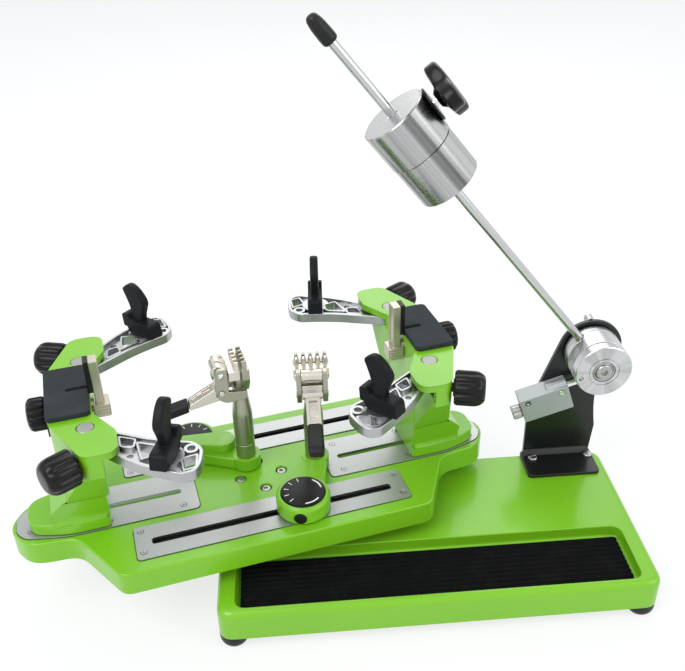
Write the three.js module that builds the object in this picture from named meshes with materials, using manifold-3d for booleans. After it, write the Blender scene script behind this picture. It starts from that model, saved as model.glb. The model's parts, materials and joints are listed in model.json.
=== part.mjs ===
// Drop-weight racket stringing machine, in millimetres, +Z up.
// The turntable turns about the world Z axis; X runs along the base and Y goes to the back.
import * as THREE from 'three';
import { mergeVertices } from 'three/addons/utils/BufferGeometryUtils.js';
import Module from 'manifold-3d';

const wasm = await Module();
wasm.setup();

// Fits
const seatGap = 0.3;
const boreFit = 0.3;
const past = 1;

// Base housing
const baseLength = 380;
const baseWidth = 180;
const baseBottom = 12;
const baseTop = 42;
const baseSheet = 3;
const baseCorner = 14;
const baseEdge = 6;
const spindleFromLeft = 40;
const spindleFromFront = 130.3;
const spindleBoss = 14;
const trayLength = 348.5;
const trayWidth = 63;
const trayDepth = 12;
const trayCorner = 10;
const trayFromLeft = 15.5;
const trayFromFront = 7.3;
const matMargin = 3.8;
const matThickness = 1.6;
const matRibs = 9;
const matRibHeight = 1.4;
const footRadius = 12.5;
const footStud = 4;
const footStudLength = 9;

// Spindle and pedestal
const spindleRadius = 12;
const spindleBottom = 26;
const pedestalRadius = 40;
const pedestalFlange = 4;
const pedestalNeck = 24;
const hubFlangeRadius = 34;
const hubFlangeThickness = 5.4;
const hubBoltCircle = 19.2;
const boltShank = 2.5;
const boltHead = 4.6;
const boltHeadHeight = 2.6;

// Turntable
const tableTurn = 13.16;
const tableTop = 80;
const tableRim = 22;
const tableWall = 5;
const tableHalfLength = 221.5;
const tableHalfWidth = 87;
const tableBodyHalf = 136;
const tableNeckHalf = 30;
const tableNeckStart = 168;
const inlayProud = 1;
const inlayThickness = 3;
const railHalfLength = 121.5;
const railInner = 35;
const railOuter = 74.5;
const railSlotHalf = 107.5;
const railSlotWidth = 7.6;
const shoeChannelWidth = 17;
const trackInner = 61;
const trackOuter = 217.5;
const trackHalfWidth = 26.7;
const trackNoseHalf = 8;
const trackSlotStart = 74.4;
const trackSlotEnd = 198;
const trackSlotWidth = 6;

// Towers, measured from the table top, with x pointing away from the table centre
const towerRightAt = 144;
const towerLeftAt = 141;
const slabInner = 3;
const slabOuter = 65;
const slabHalf = 25.5;
const slabThickness = 10.7;
const keyStart = 9;
const keyEnd = 39;
const keyDepth = 6;
const pillarTop = 45;
const yokeBottom = 40;
const wingBottom = 104;
const towerHeight = 126;
const wingReach = 86.5;
const wingWall = 6.5;
const pinOffset = 49;
const pinRadius = 6.75;
const pinFoot = 5;
const pinDepth = 6;
const armBottom = 110;
const armTop = 119;
const armPocketSlack = 0.4;
const coverThickness = 4.7;
const coverHalf = 35.5;
const coverSkirt = 3;
const coverSkirtDrop = 21;
const clampAxis = 113;
const screwRadius = 4;
const stemRadius = 6;
const centreKnobRadius = 14;
const centreKnobLength = 16.5;
const armKnobRadius = 16;
const armKnobLength = 26;
const armKnobAngle = 26;
const armKnobX = 8.4;
const armKnobY = wingReach - 11.5;
const endBarTop = 160;

// Support arms: swing of each arm about its pin, outward positive, in degrees
const armSwing = { frontRight: 1.5, rearRight: -2.5, frontLeft: 5, rearLeft: 1.7 };
const armRim = [[-7, -7.5, 5], [10, -5, 6], [27, 4, 8], [44, 14, 8], [62, 22, 8], [80, 28, 4], [87, 38, 6],
  [84, 55, 8], [79, 63.5, 5], [70, 65.5, 4], [58, 58.5, 8], [44, 50.5, 8], [31, 40.5, 8], [20, 29.5, 8],
  [8, 16, 8], [-4, 9, 5], [-10, 1, 5]];
const armWindows = [
  [[38.5, 23.5, 2], [53, 31, 2], [52, 40, 2], [41, 42, 2]],
  [[70.5, 47, 2], [81, 45, 2], [79, 58, 2], [71, 59.5, 2]],
];
const armPocketAt = [[13, 3], [25, 9], [22, 17], [14, 13]];
const armPinHole = [32, 31, 2.5];
const armEndHole = [77.8, 36.4, 3.2];
const hookSeat = { frontRight: 125, rearRight: 74, frontLeft: 56, rearLeft: 128 };
const hookPivotX = 60;
const hookPivotY = 41;
const hookFront = 16;
const hookBack = 20;
const hookWidth = 13.5;
const hookBlock = 13;
const hookSeatTop = 18.5;
const hookSeatUnder = 5;
const hookFin = 7.6;
const hookFinOutline = [[-6, 9], [-6.5, 19, 4], [-12.4, 34, 5], [-4, 45, 9], [6, 49.8, 7], [14.8, 43, 2.5],
  [8.5, 29, 9], [6.5, 19, 4], [5.5, 9]];
const hookPin = 4;

// String clamps
const clampReach = 58;
const housingRadius = 24;
const housingHeight = 16;
const armSlab = 10.7;
const bossRadius = 13;
const lobeHeight = 20;
const dialRadius = 19.5;
const dialThickness = 3.4;
const shoeStud = 5;
const postRadius = 9;
const postNeckRadius = 6.6;
const postPin = 5;
const headTop = 195;
const toothHeight = 8;
const jawDepth = 10;
const headHalf = 15.5;
const toothCount = 5;
const cheekThickness = 4.2;
const cheekFrontEdge = -23.5;
const cheekRearEdge = -11.5;
const leverPivotY = -18;
const leverDrop = 21;
const leverBarrel = 4.6;
const leverHandleOutline = [[-3.5, 1.5, 2], [-28.5, -11.5, 1], [-28.5, -16.5, 1], [4, -11, 3]];
const leverHandleHalf = 6.2;
const sleeveOutline = [[-29, -9.6, 1], [-29, -19, 1], [-55, -24.6, 3], [-59.5, -22, 3], [-59.5, -18, 3],
  [-55, -14.8, 3]];
const sleeveHalf = 6.9;

// Tension post, drum and drop lever
const postLeft = 262;
const postRight = 331;
const postFootLeft = 260;
const postFootRight = 335;
const postFootFront = 11;
const postFace = 46;
const postSheet = 4;
const postFootSheet = 3;
const drumX = 315.5;
const drumZ = 167;
const drumRadius = 26;
const postTopRadius = 30;
const drumBack = 44;
const drumStep = 29.7;
const drumFront = 16.3;
const cheekFront = 6.3;
const cheekBack = 15.7;
const axleRadius = 6;
const bearingRadius = 10.2;
const capScrewRadius = 7.5;
const flatDistance = 20;
const flatAngle = 75.5;
const leverTilt = 38.97;
const rodY = 35;
const rodRadius = 3.9;
const rodStart = 12;
const rodEnd = 389;
const gripStart = 376.5;
const gripEnd = 402;
const gripRadius = 6.6;
const mainWeightStart = 267.7;
const mainWeightEnd = 304;
const extraWeightStart = 228.5;
const weightRadius = 28;
const extraWeightRadius = 27.4;
const weightKnobAt = 289;
const weightKnobRadius = 26;
const weightKnobThickness = 14;
const weightKnobGap = 11.5;

// Stop block beside the drum
const stopX = 274.4;
const stopZ = 117.1;
const stopTilt = 18.7;
const stopLength = 48;
const stopHeight = 26;
const stopFront = 29;
const plungerRadius = 3.6;
const plungerSleeve = 6.5;
const plungerRise = 10;
const plungerEnd = 36;
const knurlRadius = 7;
const knurlLength = 9;

// Geometry helpers
const radians = THREE.MathUtils.degToRad;

function outward(geometry) {
  const index = geometry.index.array;
  const p = geometry.attributes.position;
  const [a, b, c] = [new THREE.Vector3(), new THREE.Vector3(), new THREE.Vector3()];
  let volume = 0;
  for (let i = 0; i < index.length; i += 3) {
    a.fromBufferAttribute(p, index[i]);
    b.fromBufferAttribute(p, index[i + 1]);
    c.fromBufferAttribute(p, index[i + 2]);
    volume += a.dot(b.cross(c));
  }
  if (volume > 0) return geometry;
  for (let i = 0; i < index.length; i += 3) {
    [index[i], index[i + 1]] = [index[i + 1], index[i]];
  }
  return geometry;
}

function closed(geometry) {
  const bare = geometry.clone();
  bare.deleteAttribute('normal');
  bare.deleteAttribute('uv');
  const merged = mergeVertices(bare, 1e-5);
  const index = merged.index.array;
  const kept = [];
  for (let i = 0; i < index.length; i += 3) {
    const [a, b, c] = [index[i], index[i + 1], index[i + 2]];
    if (a !== b && b !== c && c !== a) kept.push(a, b, c);
  }
  merged.setIndex(new THREE.BufferAttribute(Uint32Array.from(kept), 1));
  return outward(merged);
}

function toSolid(geometry) {
  const mesh = closed(geometry);
  return new wasm.Manifold(new wasm.Mesh({
    numProp: 3,
    vertProperties: Float32Array.from(mesh.attributes.position.array),
    triVerts: mesh.index.array,
  }));
}

function toGeometry(body) {
  const mesh = body.getMesh();
  const geometry = new THREE.BufferGeometry();
  geometry.setAttribute('position', new THREE.BufferAttribute(mesh.vertProperties, 3));
  geometry.setIndex(new THREE.BufferAttribute(mesh.triVerts, 1));
  return geometry;
}

function join(first, ...others) {
  return toGeometry(others.reduce((body, other) => body.add(toSolid(other)), toSolid(first)));
}

function cut(first, ...tools) {
  return toGeometry(tools.reduce((body, tool) => body.subtract(toSolid(tool)), toSolid(first)));
}

function common(first, second) {
  return toGeometry(toSolid(first).intersect(toSolid(second)));
}

function outline(corners) {
  const shape = new THREE.Shape();
  const count = corners.length;
  corners.forEach(([x, y, radius = 0], i) => {
    const before = corners[(i + count - 1) % count];
    const after = corners[(i + 1) % count];
    const toward = ([px, py]) => {
      const span = Math.hypot(px - x, py - y);
      const step = Math.min(radius, span / 2) / span;
      return [x + (px - x) * step, y + (py - y) * step];
    };
    const [sx, sy] = toward(before);
    const [ex, ey] = toward(after);
    if (i === 0) shape.moveTo(sx, sy);
    else shape.lineTo(sx, sy);
    if (radius > 0) shape.quadraticCurveTo(x, y, ex, ey);
  });
  shape.closePath();
  return shape;
}

function inset(corners, distance) {
  const count = corners.length;
  const side = corners.map(([x, y], i) => {
    const [nx, ny] = corners[(i + 1) % count];
    const span = Math.hypot(nx - x, ny - y);
    return { x: x - (ny - y) / span * distance, y: y + (nx - x) / span * distance, dx: nx - x, dy: ny - y };
  });
  return corners.map(([, , radius = 0], i) => {
    const a = side[(i + count - 1) % count];
    const b = side[i];
    const cross = a.dx * b.dy - a.dy * b.dx;
    const t = ((b.x - a.x) * b.dy - (b.y - a.y) * b.dx) / cross;
    return [a.x + a.dx * t, a.y + a.dy * t, radius];
  });
}

function rectangle(x0, x1, y0, y1, radius = 0) {
  return [[x0, y0, radius], [x1, y0, radius], [x1, y1, radius], [x0, y1, radius]];
}

function mirrored(corners) {
  const other = corners.map(([x, y, radius = 0]) => [x, -y, radius]).reverse();
  return [...corners, ...other];
}

// Flat piece: an outline in XY, raised from z0 to z1
function plate(corners, z0, z1, curve = 2) {
  const options = { depth: z1 - z0, bevelEnabled: false, curveSegments: curve };
  return new THREE.ExtrudeGeometry(outline(corners), options).translate(0, 0, z0);
}

// Flat piece standing up: an outline in XZ, from y0 to y1
function upright(shape, y0, y1, curve = 2) {
  const options = { depth: y1 - y0, bevelEnabled: false, curveSegments: curve };
  return new THREE.ExtrudeGeometry(shape, options).rotateX(Math.PI / 2).translate(0, y1, 0);
}

// Section in YZ, run from x0 to x1
function section(shape, x0, x1, curve = 2) {
  const options = { depth: x1 - x0, bevelEnabled: false, curveSegments: curve };
  const turn = new THREE.Matrix4().makeBasis(
    new THREE.Vector3(0, 1, 0), new THREE.Vector3(0, 0, 1), new THREE.Vector3(1, 0, 0));
  return new THREE.ExtrudeGeometry(shape, options).applyMatrix4(turn).translate(x0, 0, 0);
}

function block(x0, x1, y0, y1, z0, z1) {
  const box = new THREE.BoxGeometry(x1 - x0, y1 - y0, z1 - z0);
  return box.translate((x0 + x1) / 2, (y0 + y1) / 2, (z0 + z1) / 2);
}

// Round bar along Z; the two helpers after it lay one along X or Y
function bar(radius, z0, z1, sides = 16, topRadius = radius) {
  const pin = new THREE.CylinderGeometry(topRadius, radius, z1 - z0, sides);
  return pin.rotateX(Math.PI / 2).translate(0, 0, (z0 + z1) / 2);
}

function barX(radius, x0, x1, sides = 16) {
  return bar(radius, x0, x1, sides).rotateY(Math.PI / 2);
}

function barY(radius, y0, y1, sides = 16) {
  return bar(radius, -y1, -y0, sides).rotateX(Math.PI / 2);
}

function spun(profile, sides = 20) {
  const points = profile.map(([radius, z]) => new THREE.Vector2(radius, z));
  return new THREE.LatheGeometry(points, sides).rotateX(Math.PI / 2);
}

// Round grip with flutes, along Z from z0 to z1
function flutedKnob(radius, z0, z1, flutes, edge) {
  const shape = new THREE.Shape();
  const steps = flutes * 2;
  for (let i = 0; i < steps; i += 1) {
    const reach = i % 2 ? radius * 0.93 : radius;
    const angle = i / steps * 2 * Math.PI;
    if (i === 0) shape.moveTo(reach, 0);
    else shape.lineTo(reach * Math.cos(angle), reach * Math.sin(angle));
  }
  shape.closePath();
  const options = {
    depth: z1 - z0 - 2 * edge, bevelEnabled: true, bevelThickness: edge,
    bevelSize: edge * 0.6, bevelOffset: -edge * 0.6, bevelSegments: 1,
  };
  return new THREE.ExtrudeGeometry(shape, options).translate(0, 0, z0 + edge);
}

// Finishes: colour, roughness and metalness
const finishes = {
  greenPaint: [0x76c22a, 0.38, 0.0],
  blackPaint: [0x17191a, 0.45, 0.1],
  blackRubber: [0x141415, 0.82, 0.0],
  blackPlastic: [0x1b1b1d, 0.5, 0.0],
  greyPlastic: [0x33363a, 0.6, 0.0],
  castAluminium: [0xb9bcbf, 0.42, 0.9],
  machinedAluminium: [0xc9cccd, 0.3, 1.0],
  turnedSteel: [0xc8c8c5, 0.25, 1.0],
  chrome: [0xd7d9da, 0.12, 1.0],
  nickel: [0xb8b2a2, 0.22, 1.0],
};

function node(parent, name, finish, geometry, x = 0, y = 0, z = 0) {
  const [color, roughness, metalness] = finishes[finish];
  const material = new THREE.MeshStandardMaterial({ color, roughness, metalness });
  const mesh = new THREE.Mesh(closed(geometry), material);
  mesh.name = name;
  mesh.position.set(x, y, z);
  parent.add(mesh);
  return mesh;
}

function frameAt(parent, x, y, z, turn = 0) {
  const frame = new THREE.Group();
  frame.position.set(x, y, z);
  frame.rotation.z = radians(turn);
  parent.add(frame);
  return frame;
}

// Base housing, tray and feet
const baseLeft = -spindleFromLeft;
const baseRight = baseLeft + baseLength;
const baseFront = -spindleFromFront;
const baseBack = baseFront + baseWidth;
const trayLeft = baseLeft + trayFromLeft;
const trayRight = trayLeft + trayLength;
const trayFront = baseFront + trayFromFront;
const trayBack = trayFront + trayWidth;
const trayFloor = baseTop - trayDepth;
const postBoltY = (postFootFront + postFace) / 2 + 9;
const postBoltX = [postFootLeft + 9.5, postFootRight - 9.5];

const feet = [
  ['foot_front_left', baseLeft + footRadius, baseFront + footRadius],
  ['foot_front_right', baseRight - footRadius, baseFront + footRadius],
  ['foot_rear_left', baseLeft + footRadius, baseBack - footRadius],
  ['foot_rear_right', baseRight - footRadius, baseBack - footRadius],
];

function baseHousing() {
  const corners = rectangle(baseLeft, baseRight, baseFront, baseBack, baseCorner);
  const shell = new THREE.ExtrudeGeometry(outline(corners), {
    depth: baseTop - baseBottom - baseEdge, bevelEnabled: true, bevelThickness: baseEdge,
    bevelSize: baseEdge, bevelOffset: -baseEdge, bevelSegments: 2, curveSegments: 3,
  }).translate(0, 0, baseBottom);
  const below = block(baseLeft - past, baseRight + past, baseFront - past, baseBack + past,
    baseBottom - baseEdge - past, baseBottom);
  const cavity = plate(inset(corners, baseSheet), baseBottom - past, baseTop - baseSheet);
  const tray = rectangle(trayLeft, trayRight, trayFront, trayBack, trayCorner);
  const tub = plate(inset(tray, -baseSheet), trayFloor - baseSheet, baseTop - baseSheet / 2);
  const pocket = plate(tray, trayFloor, baseTop + past, 3);
  const spindleBlock = bar(spindleRadius + spindleBoss, spindleBottom + 2, baseTop - baseSheet / 2);
  const bosses = feet.map(([, x, y]) =>
    bar(footRadius - 2, baseBottom, baseTop - baseEdge, 16).translate(x, y, 0));
  const studHoles = feet.map(([, x, y]) =>
    bar(footStud + boreFit, baseBottom - past, baseBottom + footStudLength + past, 12).translate(x, y, 0));
  const bolts = postBoltX.map((x) =>
    bar(boltShank + boreFit, baseTop - 2 * baseSheet, baseTop + past, 12).translate(x, postBoltY, 0));
  const spindleBore = bar(spindleRadius + boreFit, baseBottom - past, baseTop + past, 20);
  const body = join(cut(shell, below, cavity), tub, spindleBlock, ...bosses);
  return cut(body, pocket, spindleBore, ...studHoles, ...bolts);
}

function trayMat() {
  const front = trayFront + matMargin + 4;
  const back = trayBack - matMargin;
  const low = trayFloor + seatGap;
  const mid = low + matThickness;
  const pitch = (back - front) / (matRibs + 0.5);
  const shape = new THREE.Shape();
  shape.moveTo(front, low);
  shape.lineTo(back, low);
  shape.lineTo(back, mid);
  for (let i = matRibs - 1; i >= 0; i -= 1) {
    const start = front + pitch * (i + 0.5);
    shape.lineTo(start + pitch * 0.7, mid);
    shape.lineTo(start + pitch * 0.55, mid + matRibHeight);
    shape.lineTo(start + pitch * 0.15, mid + matRibHeight);
    shape.lineTo(start, mid);
  }
  shape.lineTo(front, mid);
  shape.closePath();
  return section(shape, trayLeft + matMargin, trayRight - matMargin);
}

function foot() {
  const top = baseBottom - seatGap;
  return spun([[0, 0], [footRadius - 5, 0], [footRadius - 1.5, 2.4], [footRadius, 6], [footRadius, top],
    [footStud, top], [footStud, baseBottom + footStudLength], [0, baseBottom + footStudLength]], 14);
}

function pedestal() {
  const low = baseTop + seatGap;
  const top = tableTop - tableWall - 2 * seatGap - hubFlangeThickness;
  const bore = spindleRadius + boreFit;
  return spun([[bore, low], [pedestalRadius, low], [pedestalRadius, low + pedestalFlange],
    [pedestalNeck + 4, low + pedestalFlange + 3], [pedestalNeck, top], [bore, top], [bore, low]], 20);
}

// Tension post with its foot, bolts and rear stop bolt
function tensionPost() {
  const footLow = baseTop + seatGap;
  const footTop = footLow + postFootSheet;
  const back = postFace + postSheet;
  const footPlate = plate(rectangle(postFootLeft, postFootRight, postFootFront, back, 5), footLow, footTop);
  const shape = new THREE.Shape();
  const lean = Math.atan2(30.5, 85.4);
  shape.moveTo(postLeft, footLow);
  shape.lineTo(postRight - 4, footLow);
  shape.lineTo(postRight - 2, 96);
  shape.quadraticCurveTo(drumX + postTopRadius, drumZ - 30, drumX + postTopRadius, drumZ);
  shape.absarc(drumX, drumZ, postTopRadius, 0, Math.PI - lean, false);
  shape.lineTo(postLeft, 104);
  shape.closePath();
  const sheet = upright(shape, postFace, back, 6);
  const fillet = section(outline([[back, footTop], [postFace, footTop + 3], [postFace - 3, footTop],
    [postFace - 3, footLow], [back, footLow]]), postLeft, postRight - 4);
  const bolts = postBoltX.map((x) => join(
    bar(boltShank, baseTop - baseSheet - 2, footTop + 1, 10).translate(x, postBoltY, 0),
    bar(boltHead, footTop - 0.2, footTop + boltHeadHeight, 16, boltHead - 1).translate(x, postBoltY, 0)));
  const rearBolt = barY(4, back - 1, back + 8, 12).translate(drumX - 6.5, 0, drumZ + 22);
  const axleHole = barY(axleRadius + boreFit, postFace - past, back + past).translate(drumX, 0, drumZ);
  return cut(join(footPlate, sheet, fillet, ...bolts, rearBolt), axleHole);
}

function drumAxle() {
  const nutStart = postFace + postSheet + seatGap;
  const shaft = barY(axleRadius, cheekFront, nutStart + 1);
  const nut = barY(8.5, nutStart, nutStart + 5, 6);
  const bearing = barY(bearingRadius, cheekFront, cheekFront + 2);
  const cap = barY(capScrewRadius, cheekFront - 1.6, cheekFront + 1);
  const hex = barY(3.4, cheekFront - 1.6 - past, cheekFront + 0.8, 6);
  return cut(join(shaft, nut, bearing, cap), hex);
}

// Stop block: x runs along the block and z across it, both tilted together
function stopBlock() {
  const back = postFace - seatGap;
  const half = stopLength / 2;
  const body = block(-half, half, stopFront, back, -stopHeight / 2, stopHeight / 2);
  const lane = (stopFront + back) / 2;
  const sleeve = barX(plungerSleeve, 4, half, 20).translate(0, lane, plungerRise);
  const bore = barX(plungerRadius + boreFit, -6, half + past, 16).translate(0, lane, plungerRise);
  const tap = barX(screwRadius + boreFit, -half - past, -half + 12, 14).translate(0, lane, -3);
  return cut(join(body, sleeve), bore, tap);
}

function knurledScrew() {
  const half = stopLength / 2;
  const head = flutedKnob(knurlRadius, half + seatGap, half + seatGap + knurlLength, 10, 1);
  const shank = bar(screwRadius, half - 11, half + 2, 14);
  return join(head.rotateY(-Math.PI / 2), shank.rotateY(-Math.PI / 2));
}

function plunger() {
  const rod = bar(plungerRadius, 4, plungerEnd - 2, 16);
  const tip = bar(plungerRadius, plungerEnd - 2, plungerEnd, 16, plungerRadius - 1.2);
  return join(rod, tip.translate(0, 0, -0.01)).rotateY(Math.PI / 2);
}

// Drum and front cheek, about the drum axis, with y as in the machine
function gripperHub() {
  const rear = barY(drumRadius, drumStep, drumBack, 32);
  const mid = barY(drumRadius, drumFront, drumStep + 1, 32);
  const flat = block(flatDistance, drumRadius * 2, drumFront - past, drumStep, -drumRadius * 2, drumRadius * 2)
    .rotateY(radians(-90 - flatAngle));
  const bore = barY(axleRadius + boreFit, drumFront - past, drumBack + past);
  const socket = bar(rodRadius + boreFit, rodStart - boreFit, drumRadius + past, 16)
    .rotateY(radians(-leverTilt)).translate(0, rodY, 0);
  return cut(join(rear, cut(mid, flat)), bore, socket);
}

function gripperCheek() {
  const disc = barY(drumRadius, cheekFront, cheekBack, 32);
  const bore = barY(axleRadius + boreFit, cheekFront - past, cheekBack + past);
  const recess = barY(bearingRadius + boreFit, cheekFront - past, cheekFront + 2 + seatGap, 20);
  const ring = cut(barY(14.2, cheekFront - past, cheekFront + 0.6, 24), barY(13.2, 0, drumFront, 24));
  const pinHole = barY(2.5, cheekFront - past, cheekFront + 3, 12).translate(-20.5, 0, -6);
  return cut(disc, bore, recess, ring, pinHole);
}

function leverGrip() {
  const bore = bar(rodRadius + boreFit, gripStart - past, rodEnd + seatGap, 16);
  const body = spun([[0, gripStart], [gripRadius - 1.4, gripStart], [gripRadius, gripStart + 2],
    [gripRadius - 0.4, gripEnd - 6], [gripRadius - 1.8, gripEnd - 2.2], [gripRadius - 4, gripEnd - 0.4],
    [0, gripEnd]], 14);
  return cut(body, bore);
}

function mainWeight() {
  const body = spun([[0, mainWeightStart], [weightRadius, mainWeightStart], [weightRadius, mainWeightEnd - 1],
    [weightRadius - 1, mainWeightEnd], [0, mainWeightEnd]], 32);
  const bore = bar(rodRadius + boreFit, mainWeightStart - past, mainWeightEnd + past, 16);
  const tap = barX(3 + boreFit, rodRadius + 2, weightRadius + past, 12).translate(0, 0, weightKnobAt);
  return cut(body, bore, tap);
}

function extraWeight() {
  const top = mainWeightStart - seatGap;
  const body = spun([[0, extraWeightStart], [extraWeightRadius - 1, extraWeightStart],
    [extraWeightRadius, extraWeightStart + 1], [extraWeightRadius, top], [0, top]], 32);
  return cut(body, bar(rodRadius + boreFit, extraWeightStart - past, top + past, 16));
}

// Three-lobed knob with its washer and stud, along Z from the face of the weight
function weightKnob() {
  const shape = new THREE.Shape();
  const steps = 18;
  for (let i = 0; i < steps; i += 1) {
    const angle = i / steps * 2 * Math.PI;
    const reach = weightKnobRadius - 6 - 4 * Math.cos(3 * angle);
    if (i === 0) shape.moveTo(reach, 0);
    else shape.lineTo(reach * Math.cos(angle), reach * Math.sin(angle));
  }
  shape.closePath();
  const head = new THREE.ExtrudeGeometry(shape, {
    depth: weightKnobThickness - 6, bevelEnabled: true, bevelThickness: 3, bevelSize: 2, bevelSegments: 1,
  }).translate(0, 0, weightRadius + weightKnobGap);
  const hub = bar(6, weightRadius + weightKnobGap - 6, weightRadius + weightKnobGap - 2, 16, 10);
  const washer = bar(15, weightRadius + seatGap, weightRadius + seatGap + 1.8, 20);
  const stud = bar(3, rodRadius + 3, weightRadius + weightKnobGap - 2, 12);
  return join(head, hub, washer, stud).rotateY(Math.PI / 2);
}

// Turntable casting, inlaid rails and track plates, and the hub below
const inlayBottom = tableTop + inlayProud - inlayThickness;
const inlayTop = tableTop + inlayProud;
const pocketFloor = inlayBottom - seatGap;
const railLane = (railInner + railOuter) / 2 + 0.65;

function tableOutline() {
  const quarter = [[tableBodyHalf, -tableHalfWidth, 8], [tableNeckStart, -tableNeckHalf, 12],
    [tableHalfLength - 13, -tableNeckHalf + 3, 14], [tableHalfLength, -6, 8]];
  const right = mirrored(quarter);
  const left = right.map(([x, y, radius]) => [-x, -y, radius]);
  return [...right, ...left];
}

function trackCorners(grow = 0) {
  const half = [[trackInner - grow, -trackHalfWidth - grow, 5], [174, -trackHalfWidth - grow, 8],
    [211, -18 - grow, 6], [trackOuter + grow, -trackNoseHalf, 4]];
  return mirrored(half);
}

function railCorners(grow = 0) {
  return rectangle(-railHalfLength - grow, railHalfLength + grow, railInner - grow, railOuter + grow, 4);
}

const hubBolts = [0, 90, 180, 270].map((turn) =>
  [hubBoltCircle * Math.cos(radians(turn)), hubBoltCircle * Math.sin(radians(turn))]);

function tableCasting() {
  const rim = tableOutline();
  const body = plate(rim, tableTop - tableRim, tableTop, 2);
  const cavity = plate(inset(rim, tableWall), tableTop - tableRim - past, tableTop - tableWall, 1);
  const cuts = [cavity];
  [1, -1].forEach((side) => {
    const turn = side > 0 ? 0 : Math.PI;
    cuts.push(plate(trackCorners(seatGap), pocketFloor, tableTop + past).rotateZ(turn));
    cuts.push(block(trackSlotStart, trackSlotEnd, -trackSlotWidth / 2, trackSlotWidth / 2,
      tableTop - tableRim, tableTop).rotateZ(turn));
    cuts.push(plate(railCorners(seatGap), pocketFloor, tableTop + past).rotateZ(turn));
    cuts.push(block(-railSlotHalf - 4, railSlotHalf + 4, railLane - shoeChannelWidth / 2,
      railLane + shoeChannelWidth / 2, tableTop - tableRim, tableTop).rotateZ(turn));
  });
  hubBolts.forEach(([x, y]) => {
    cuts.push(bar(boltShank + boreFit, tableTop - tableRim, tableTop + past, 12).translate(x, y, 0));
    cuts.push(bar(boltHead + 0.6, tableTop - boltHeadHeight - 1.2, tableTop + past, 14).translate(x, y, 0));
  });
  return cut(body, ...cuts);
}

function trackPlate() {
  const slot = rectangle(trackSlotStart, trackSlotEnd, -trackSlotWidth / 2, trackSlotWidth / 2, 3);
  return cut(plate(trackCorners(), inlayBottom, inlayTop), plate(slot, inlayBottom - past, inlayTop + past));
}

function rail() {
  const slot = rectangle(-railSlotHalf, railSlotHalf, railLane - railSlotWidth / 2,
    railLane + railSlotWidth / 2, 3);
  return cut(plate(railCorners(), inlayBottom, inlayTop), plate(slot, inlayBottom - past, inlayTop + past));
}

function tableHub() {
  const top = tableTop - tableWall - seatGap;
  const low = top - hubFlangeThickness;
  const spindle = spun([[0, spindleBottom], [spindleRadius - 1, spindleBottom], [spindleRadius, spindleBottom + 1],
    [spindleRadius, low], [hubFlangeRadius, low], [hubFlangeRadius, top], [0, top]], 20);
  const headLow = tableTop - boltHeadHeight - 0.9;
  const bolts = hubBolts.map(([x, y]) => join(
    bar(boltShank, low + 1, headLow + 1, 10).translate(x, y, 0),
    bar(boltHead, headLow, headLow + boltHeadHeight, 12).translate(x, y, 0)));
  return join(spindle, ...bolts);
}

// Tower casting: slab, pillar and C-shaped yoke with a pocket for each arm
const wingAngle = Math.atan2(armKnobY - pinOffset + 18, 20);

function yokePlan() {
  return mirrored([[25, -36, 5], [2.3, -wingReach, 8], [-22, -wingReach, 13], [-22, -60, 4],
    [-slabInner - 3, -32, 3]]);
}

function armPocket(side) {
  const low = armBottom - armPocketSlack;
  const high = armTop + armPocketSlack;
  const run = (wingReach + 8 - 36.5) * 20 / 44;
  const start = 25 - wingWall / Math.sin(wingAngle) - 0.2;
  const corners = [[-50, -36.5], [start, -36.5], [start - run, -wingReach - 8], [-50, -wingReach - 8]]
    .map(([x, y]) => [x, -side * y]);
  return plate(corners, low, high);
}

function towerCasting() {
  const slabCorners = mirrored([[-slabInner, -slabHalf, 4], [33, -slabHalf, 10], [60, -17, 6], [slabOuter, -9, 4]]);
  const low = inlayProud + seatGap;
  const slab = plate(slabCorners, low, low + slabThickness);
  const key = block(keyStart, keyEnd, -trackSlotWidth / 2 + 0.4, trackSlotWidth / 2 - 0.4, -keyDepth, low + 1);
  const pillarFoot = plate(rectangle(-1, 44, -23, 23, 5), low + slabThickness - 1, 24);
  const pillar = section(outline([[-23, 20], [23, 20], [26, pillarTop], [-26, pillarTop]]), -3.5, 27);
  const gusset = upright(outline([[20, 20], [44, 20], [44, 24], [27, pillarTop], [20, pillarTop]]), -21, 21);
  const plan = plate(yokePlan(), yokeBottom, towerHeight, 2);
  const front = [[-30, yokeBottom - 1], [30, yokeBottom - 1], [76, wingBottom - 6], [wingReach + 1, wingBottom],
    [wingReach + 1, towerHeight + 1], [-wingReach - 1, towerHeight + 1], [-wingReach - 1, wingBottom],
    [-76, wingBottom - 6]];
  const yoke = common(plan, section(outline(front), -60, 60));
  const tools = [barX(stemRadius + boreFit, -40, 13, 20), barX(screwRadius + boreFit, 12, 60, 16)]
    .map((bore) => bore.translate(0, 0, clampAxis));
  [1, -1].forEach((side) => {
    tools.push(armPocket(side));
    tools.push(bar(pinRadius + boreFit, armTop, towerHeight + past, 16).translate(0, side * pinOffset, 0));
    tools.push(bar(pinFoot + boreFit, armBottom - pinDepth - 1, armBottom, 12)
      .translate(0, side * pinOffset, 0));
    tools.push(knobScrew(screwRadius + boreFit, side, 16));
  });
  return cut(join(slab, key, pillarFoot, pillar, gusset, yoke), ...tools);
}

// Axis of an arm knob: x points outward from the wing
function knobFrame(side) {
  const frame = new THREE.Matrix4().makeRotationZ(radians(side * armKnobAngle));
  return frame.setPosition(armKnobX, side * armKnobY, clampAxis);
}

function knobScrew(radius, side, length) {
  return barX(radius, -length, 6, 12).applyMatrix4(knobFrame(side));
}

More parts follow.
